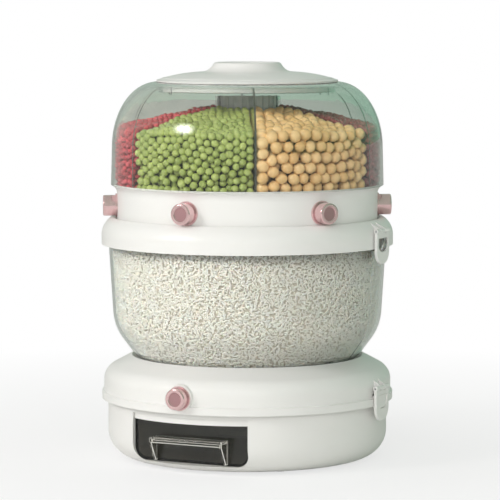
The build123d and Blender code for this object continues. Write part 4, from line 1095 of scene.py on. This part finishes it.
@dataclass
class Contents:
    """Everything loose inside: six heaps of seeds in the dome and the rice in the bowl."""

    groups: EffectGroups

    def crops(self) -> dict[Sector, Crop]:
        """Gives what each compartment holds.

        Returns:
            The crop of each compartment.
        """
        # Each crop's last colour is the painted shade between its seeds.
        mung = Crop(
            "mung", (4.2, 3.8, 3.7), 7.9,
            (0.47, 0.55, 0.16), (0.24, 0.31, 0.065), 0.3, 0.9, (0.03, 0.04, 0.01),
        )
        soy = Crop(
            "soy", (6.05, 5.85, 6.4), 12.2,
            (0.92, 0.66, 0.34), (0.74, 0.46, 0.18), 0.4, 0.3, (0.10, 0.05, 0.012),
        )
        plum = Crop(
            "plum", (3.1, 3.0, 3.7), 6.4,
            (0.44, 0.10, 0.11), (0.22, 0.04, 0.06), 0.3, 0.5, (0.05, 0.01, 0.01),
        )
        black = Crop(
            "black", (3.9, 3.7, 5.2), 8.0,
            (0.06, 0.045, 0.05), (0.018, 0.014, 0.018), 0.34, 0.3, (0.01, 0.008, 0.01),
        )
        pale = Crop(
            "pale", (4.0, 3.2, 5.6), 8.0,
            (0.84, 0.78, 0.66), (0.70, 0.60, 0.45), 0.4, 0.2, (0.2, 0.16, 0.1),
        )
        red = Crop(
            "red", (2.75, 2.65, 3.3), 6.6,
            (0.74, 0.085, 0.11), (0.28, 0.012, 0.025), 0.18, 1.0, (0.03, 0.004, 0.006), 0.1,
        )
        return dict(zip(Sector, (mung, soy, plum, black, pale, red)))

    def build(self) -> list[bpy.types.Object]:
        """Makes all the contents.

        Returns:
            The pieces.
        """
        pieces = []
        for sector, crop in self.crops().items():
            pieces += GrainHeap(sector, crop).build(self.groups)
        return pieces + RiceFill().build(self.groups)


@dataclass
class Casing:
    """The moulded and metal pieces that come from the drawing, and the finish of each."""

    groups: EffectGroups
    nodes: dict[str, bpy.types.Object]
    grain_level: float = 252.85
    grain_reach: float = 144.0
    grain_stroke: float = 10.0
    rice_level: float = 76.0
    rice_reach: float = 156.0
    rice_stroke: float = 8.0
    cap_face: float = 2.4
    cap_length: float = 19.0
    spare: float = 2.0
    seat_gap: float = 0.3
    dish_radius: float = 6.6
    dish_depth: float = 2.0
    pull_round: float = 0.7
    pull_weld: float = 0.01
    sharp_angle: float = 35.0

    def rose(self, name: str, level: float, reach: float) -> PlatedRose:
        """Gives the plating of one kind of button.

        Args:
            name: the finish's name.
            level: height of the button's axis.
            reach: how far its face stands from the turning axis.

        Returns:
            The finish.
        """
        pale, deep, dish = (0.86, 0.60, 0.61), (0.78, 0.50, 0.52), (0.52, 0.29, 0.31)
        return PlatedRose(name, pale, deep, 0.22, dish, level, reach - self.dish_depth, self.dish_radius)

    def finishes(self) -> dict[str, bpy.types.Material]:
        """Makes one material for each finish.

        Returns:
            Finish name to material.
        """
        # The divider's slant colour and its narrow-face colour are painted shade along its edges.
        core, wall_slant_shade, wall_line_shade = (0.97, 0.97, 0.96), (0.62, 0.66, 0.6), (0.09, 0.09, 0.075)
        made = [
            MouldedPlastic(
                "white_body", (0.875, 0.868, 0.85), (0.845, 0.838, 0.818), 0.3, 0.12, 0.000012, 0.06
            ),
            MouldedPlastic("inner_body", (0.72, 0.72, 0.69), (0.66, 0.66, 0.63), 0.5),
            # The clear finishes' edge colours are painted shade, tinted green on the clear body, where walls
            # are seen at a slant.
            ClearPlastic(
                "clear_body", (0.985, 0.989, 0.983), (0.975, 0.982, 0.973), 0.02, (0.62, 0.75, 0.68)
            ),
            ClearPlastic(
                "wall_body", (0.98, 0.985, 0.975), (0.97, 0.975, 0.96), 0.02, wall_slant_shade, 1.2, 1.0, wall_line_shade
            ),
            ClearPlastic("core_body", core, (0.92, 0.92, 0.90), 0.1, core, 1.3, 0.55),
            ClearPlastic("smoke_body", (0.62, 0.60, 0.55), (0.55, 0.535, 0.485), 0.05, (0.4, 0.39, 0.36)),
            ClearPlastic("smoke_pull", (0.86, 0.85, 0.81), (0.80, 0.79, 0.75), 0.03, (0.85, 0.85, 0.82), 1.3),
            # Painted highlight: a pale opaque finish on the smoked pull's rounded edges, in place of their
            # reflections.
            MouldedPlastic("pull_edge", (0.84, 0.83, 0.80), (0.78, 0.77, 0.74), 0.16, 0.5),
            BrightSteel("steel_wire", (0.62, 0.62, 0.64), (0.5, 0.5, 0.52), 0.28),
            MouldedPlastic("silicone_ring", (0.78, 0.78, 0.75), (0.7, 0.7, 0.67), 0.55, 0.0, 0.00002, 0.3),
            MouldedPlastic("foot_rubber", (0.05, 0.05, 0.05), (0.03, 0.03, 0.03), 0.75, 0.0, 0.00006),
            self.rose("grain_rose", self.grain_level, self.grain_reach),
            self.rose("rice_rose", self.rice_level, self.rice_reach),
        ]
        return {finish.name: finish.make(self.groups) for finish in made}

    def plan(self) -> dict[str, list[str]]:
        """Gives which nodes take which finish.

        Returns:
            Finish name to the nodes' names.
        """
        latches = [f"{tier}_latch_{side}" for tier in ("base", "collar") for side in ("left", "right")]
        tiers = ["base_shell", "base_cover", "bowl_collar", "dispenser_ring", "lid"]
        gates = ["rice_gate"] + [f"grain_gate_{sector.label}" for sector in Sector]
        return {
            "white_body": [*tiers, *latches, "drawer_bay", "grain_tray"],
            "inner_body": ["outlet_funnel", "turntable_plate", "turntable_cage", *gates],
            "clear_body": ["rice_bowl", "dome"],
            "wall_body": ["divider"],
            "core_body": ["hub_core"],
            "smoke_body": ["drawer_bin"],
            "smoke_pull": ["drawer_handle"],
            "steel_wire": ["base_latch_pins", "collar_latch_pins", "turntable_balls"],
            "silicone_ring": ["outlet_seal", "collar_seal", "lid_seal"],
            "foot_rubber": ["rubber_feet"],
            "grain_rose": ["grain_bezels"] + [f"grain_button_{sector.label}" for sector in Sector],
            "rice_rose": ["rice_button", "rice_bezel"],
        }

    def spring(
        self, names: str, outward: np.ndarray, level: float, reach: float, stroke: float
    ) -> CoilSpring:
        """Gives one return spring at the place of its plain sleeve.

        Args:
            names: how its node, button and joint are named, with a star for the kind.
            outward: the button's direction.
            level: height of the button's axis.
            reach: how far its face stands from the turning axis.
            stroke: how far it is pressed.

        Returns:
            The spring.
        """
        inner = reach - self.cap_length - stroke - self.spare + self.seat_gap
        outer = reach - self.cap_face - self.seat_gap
        node, button, joint = (names.replace("*", kind) for kind in ("spring", "button", "press"))
        return CoilSpring(node, button, joint, outward, level, inner, outer, stroke)

    def springs(self) -> list[CoilSpring]:
        """Gives the seven return springs.

        Returns:
            Those of the grain buttons, then the rice button's.
        """
        grain = (self.grain_level, self.grain_reach, self.grain_stroke)
        rice = (self.rice_level, self.rice_reach, self.rice_stroke)
        made = [self.spring(f"grain_*_{sector.label}", sector.outward, *grain) for sector in Sector]
        return [*made, self.spring("rice_*", Sector.FRONT.outward, *rice)]

    def dress(self) -> list[bpy.types.Object]:
        """Gives every node its finish and winds the springs.

        Returns:
            The wound springs.
        """
        materials = self.finishes()
        for finish, names in self.plan().items():
            for name in names:
                slots = self.nodes[name].data.materials
                slots.clear()
                slots.append(materials[finish])
                LOG.info("%s takes %s", name, finish)
        self.round_pull(materials["pull_edge"])
        return [spring.build(materials["steel_wire"]) for spring in self.springs()]

    def round_pull(self, finish: bpy.types.Material) -> None:
        """Rounds the pull's edges and gives them a painted highlight.

        Args:
            finish: the painted highlight's finish.
        """
        pull = self.nodes["drawer_handle"]
        pull.data.materials.append(finish)
        pull.modifiers.new("joined_corners", "WELD").merge_threshold = self.pull_weld * MM
        # The rounded edges take the painted highlight finish.
        bevel = pull.modifiers.new("polished_edges", "BEVEL")
        bevel.material = 1
        bevel.use_clamp_overlap = False
        bevel.width = self.pull_round * MM
        bevel.segments = 2
        bevel.limit_method = "ANGLE"
        bevel.angle_limit = math.radians(self.sharp_angle)


@dataclass(frozen=True)
class Lamp:
    """A soft lamp: degrees right of the camera and above the horizon, metres away, sides, watts and tint.

    A mirrored lamp shows in glossy walls, and a faded one dims from its middle to its edges.
    """

    name: str
    turn: float
    lift: float
    away: float
    size: tuple[float, float]
    power: float
    tint: Colour
    mirrored: bool = True
    faded: bool = False


@dataclass
class Studio:
    """The pale floor, the soft light and the camera at the photograph's angle."""

    azimuth: float = 26.6
    distance: float = 2900.0
    height: float = 468.0
    aim_level: float = 207.4
    aim_right: float = 2.7
    focal_pixels: float = 2910.0
    frame_pixels: float = 500.0
    sensor: float = 36.0
    lamp_aim: float = 220.0
    floor_half: float = 60000.0
    floor_drop: float = 0.2
    floor_lift: float = 0.7

    def camera(self) -> None:
        """Puts the camera at the photograph's angle, aimed a little right of the axis."""
        angle = math.radians(self.azimuth)
        right = Vector((math.cos(angle), math.sin(angle), 0.0))
        spot = Vector((self.distance * math.sin(angle), -self.distance * math.cos(angle), self.height)) * MM
        aim = (right * self.aim_right + Vector((0.0, 0.0, self.aim_level))) * MM
        data = bpy.data.cameras.new("camera")
        data.sensor_width = self.sensor
        data.lens = self.sensor * self.focal_pixels / self.frame_pixels
        data.clip_end = 100.0
        camera = bpy.data.objects.new("camera", data)
        camera.location = spot
        camera.rotation_euler = (aim - spot).to_track_quat("-Z", "Y").to_euler()
        bpy.context.scene.collection.objects.link(camera)
        bpy.context.scene.camera = camera

    def floor(self) -> None:
        """Lays a wide flat floor of one grid square under the feet.

        The camera sees it lifted towards plain white, fully so a little way off, so no horizon shows.
        """
        signs = np.array([[-1, -1], [1, -1], [1, 1], [-1, 1]])
        points = np.column_stack([signs * self.floor_half, np.full(4, -self.floor_drop)])
        floor = put_mesh("floor", points * MM, np.arange(4), np.array([0]))
        material = bpy.data.materials.new("pale_floor")
        graph = Graph.of(material)
        away = graph.vector("LENGTH", graph.add("TexCoord").outputs["Object"])
        lifted = graph.remap(away, 0.2, 0.9, self.floor_lift, 1.0)
        share = graph.math("MULTIPLY", lifted, graph.add("LightPath").outputs["Is Camera Ray"])
        matt = graph.add("BsdfPrincipled", {"Base Color": rgba((0.9, 0.9, 0.89)), "Roughness": 0.8})
        white = graph.add("Emission", {"Color": WHITE, "Strength": 1.0})
        graph.add("OutputMaterial", {"Surface": graph.blend(share, matt.outputs[0], white.outputs[0])})
        floor.data.materials.append(material)

    def lamp(self, lamp: Lamp) -> bpy.types.Object:
        """Adds a soft lamp that faces the dispenser's middle.

        Args:
            lamp: where it stands and how it shines.

        Returns:
            The lamp.
        """
        side = math.radians(self.azimuth + lamp.turn)
        rise = math.radians(lamp.lift)
        back = Vector((math.sin(side) * math.cos(rise), -math.cos(side) * math.cos(rise), math.sin(rise)))
        data = bpy.data.lights.new(lamp.name, "AREA")
        data.shape = "RECTANGLE"
        data.size, data.size_y = lamp.size
        data.energy = lamp.power
        data.color = lamp.tint
        light = bpy.data.objects.new(lamp.name, data)
        light.location = Vector((0, 0, self.lamp_aim * MM)) + back * lamp.away
        light.rotation_euler = (-back).to_track_quat("-Z", "Y").to_euler()
        light.visible_glossy = lamp.mirrored
        light.visible_transmission = False
        if lamp.faded:
            self.fade(data)
        bpy.context.scene.collection.objects.link(light)
        return light

    def fade(self, data: bpy.types.AreaLight) -> None:
        """Dims a lamp from its middle to its edges, so that its image in the clear walls has no hard border.

        Args:
            data: the lamp's data.
        """
        graph = Graph.of(data)
        place = graph.add("NewGeometry").outputs["Parametric"]
        away = graph.vector("DISTANCE", place, (0.5, 0.5, 0.0))
        share = graph.remap(away, 0.0, 0.5, 1.0, 0.0, interpolation_type="SMOOTHSTEP")
        glow = graph.add("Emission", {"Color": WHITE, "Strength": share})
        graph.add("OutputLight", {"Surface": glow.outputs[0]})

    def inner_light(self, inside: list[bpy.types.Object]) -> None:
        """Adds a lamp for what stands inside the clear walls, so that only that has its highlights.

        Args:
            inside: the pieces that it lights.
        """
        light = self.lamp(Lamp("inner_light", -18, 30, 2.0, (0.7, 0.7), 17.0, (1.0, 0.99, 0.97)))
        lit = bpy.data.collections.new("pieces_in_light")
        for piece in inside:
            lit.objects.link(piece)
        light.light_linking.receiver_collection = lit

    def world(self) -> None:
        """Surrounds the scene with pale light that is a little dimmer and greener on the right.

        What the camera sees directly is plain near-white.
        """
        world = bpy.data.worlds.new("studio")
        bpy.context.scene.world = world
        graph = Graph.of(world)
        angle = math.radians(self.azimuth)
        way = graph.add("TexCoord").outputs["Generated"]
        right = graph.vector("DOT_PRODUCT", way, (math.cos(angle), math.sin(angle), 0.0))
        share = graph.remap(right, -0.3, 0.8, 0.0, 1.0)
        path = graph.add("LightPath").outputs
        soft = graph.mix(share, rgba((0.62, 0.615, 0.60)), rgba((0.21, 0.235, 0.20)))
        shown = graph.mix(share, rgba((0.52, 0.56, 0.51)), rgba((0.19, 0.46, 0.31)))
        colour = graph.mix(graph.math("GREATER_THAN", path["Diffuse Depth"], 0.5), shown, soft)
        ambient = graph.add("Background", {"Color": colour, "Strength": 1.0}).outputs[0]
        plain = graph.add("Background", {"Color": WHITE, "Strength": 1.0}).outputs[0]
        graph.add("OutputWorld", {"Surface": graph.blend(path["Is Camera Ray"], ambient, plain)})

    def build(self) -> None:
        """Sets up the camera, the floor, the lamps and the surroundings."""
        self.camera()
        self.floor()
        for lamp in (
            Lamp("key_light", -57, 25, 2.2, (0.9, 0.6), 59.0, (1.0, 0.985, 0.965), True, True),
            Lamp("front_light", 0, 16, 2.6, (1.6, 1.6), 21.0, (1.0, 0.995, 0.98), False),
            Lamp("right_light", 104, 14, 1.8, (1.0, 1.2), 1.6, (0.45, 1.0, 0.62), False),
        ):
            self.lamp(lamp)
        self.world()
        bpy.context.scene.view_settings.view_transform = "Standard"


def main() -> None:
    """Loads the frame, dresses it, fills it and lights it."""
    logging.basicConfig(level=logging.INFO, format="%(name)s %(message)s")
    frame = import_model()
    groups = EffectGroups()
    studio = Studio()
    studio.build()
    pieces = Casing(groups, frame["nodes"]).dress()
    seeds = Contents(groups).build()
    studio.inner_light([*seeds, frame["nodes"]["hub_core"]])
    pieces += seeds
    for piece in pieces:
        LOG.info("%s has %d faces", piece.name, len(piece.data.polygons))


if __name__ == "__main__":
    main()
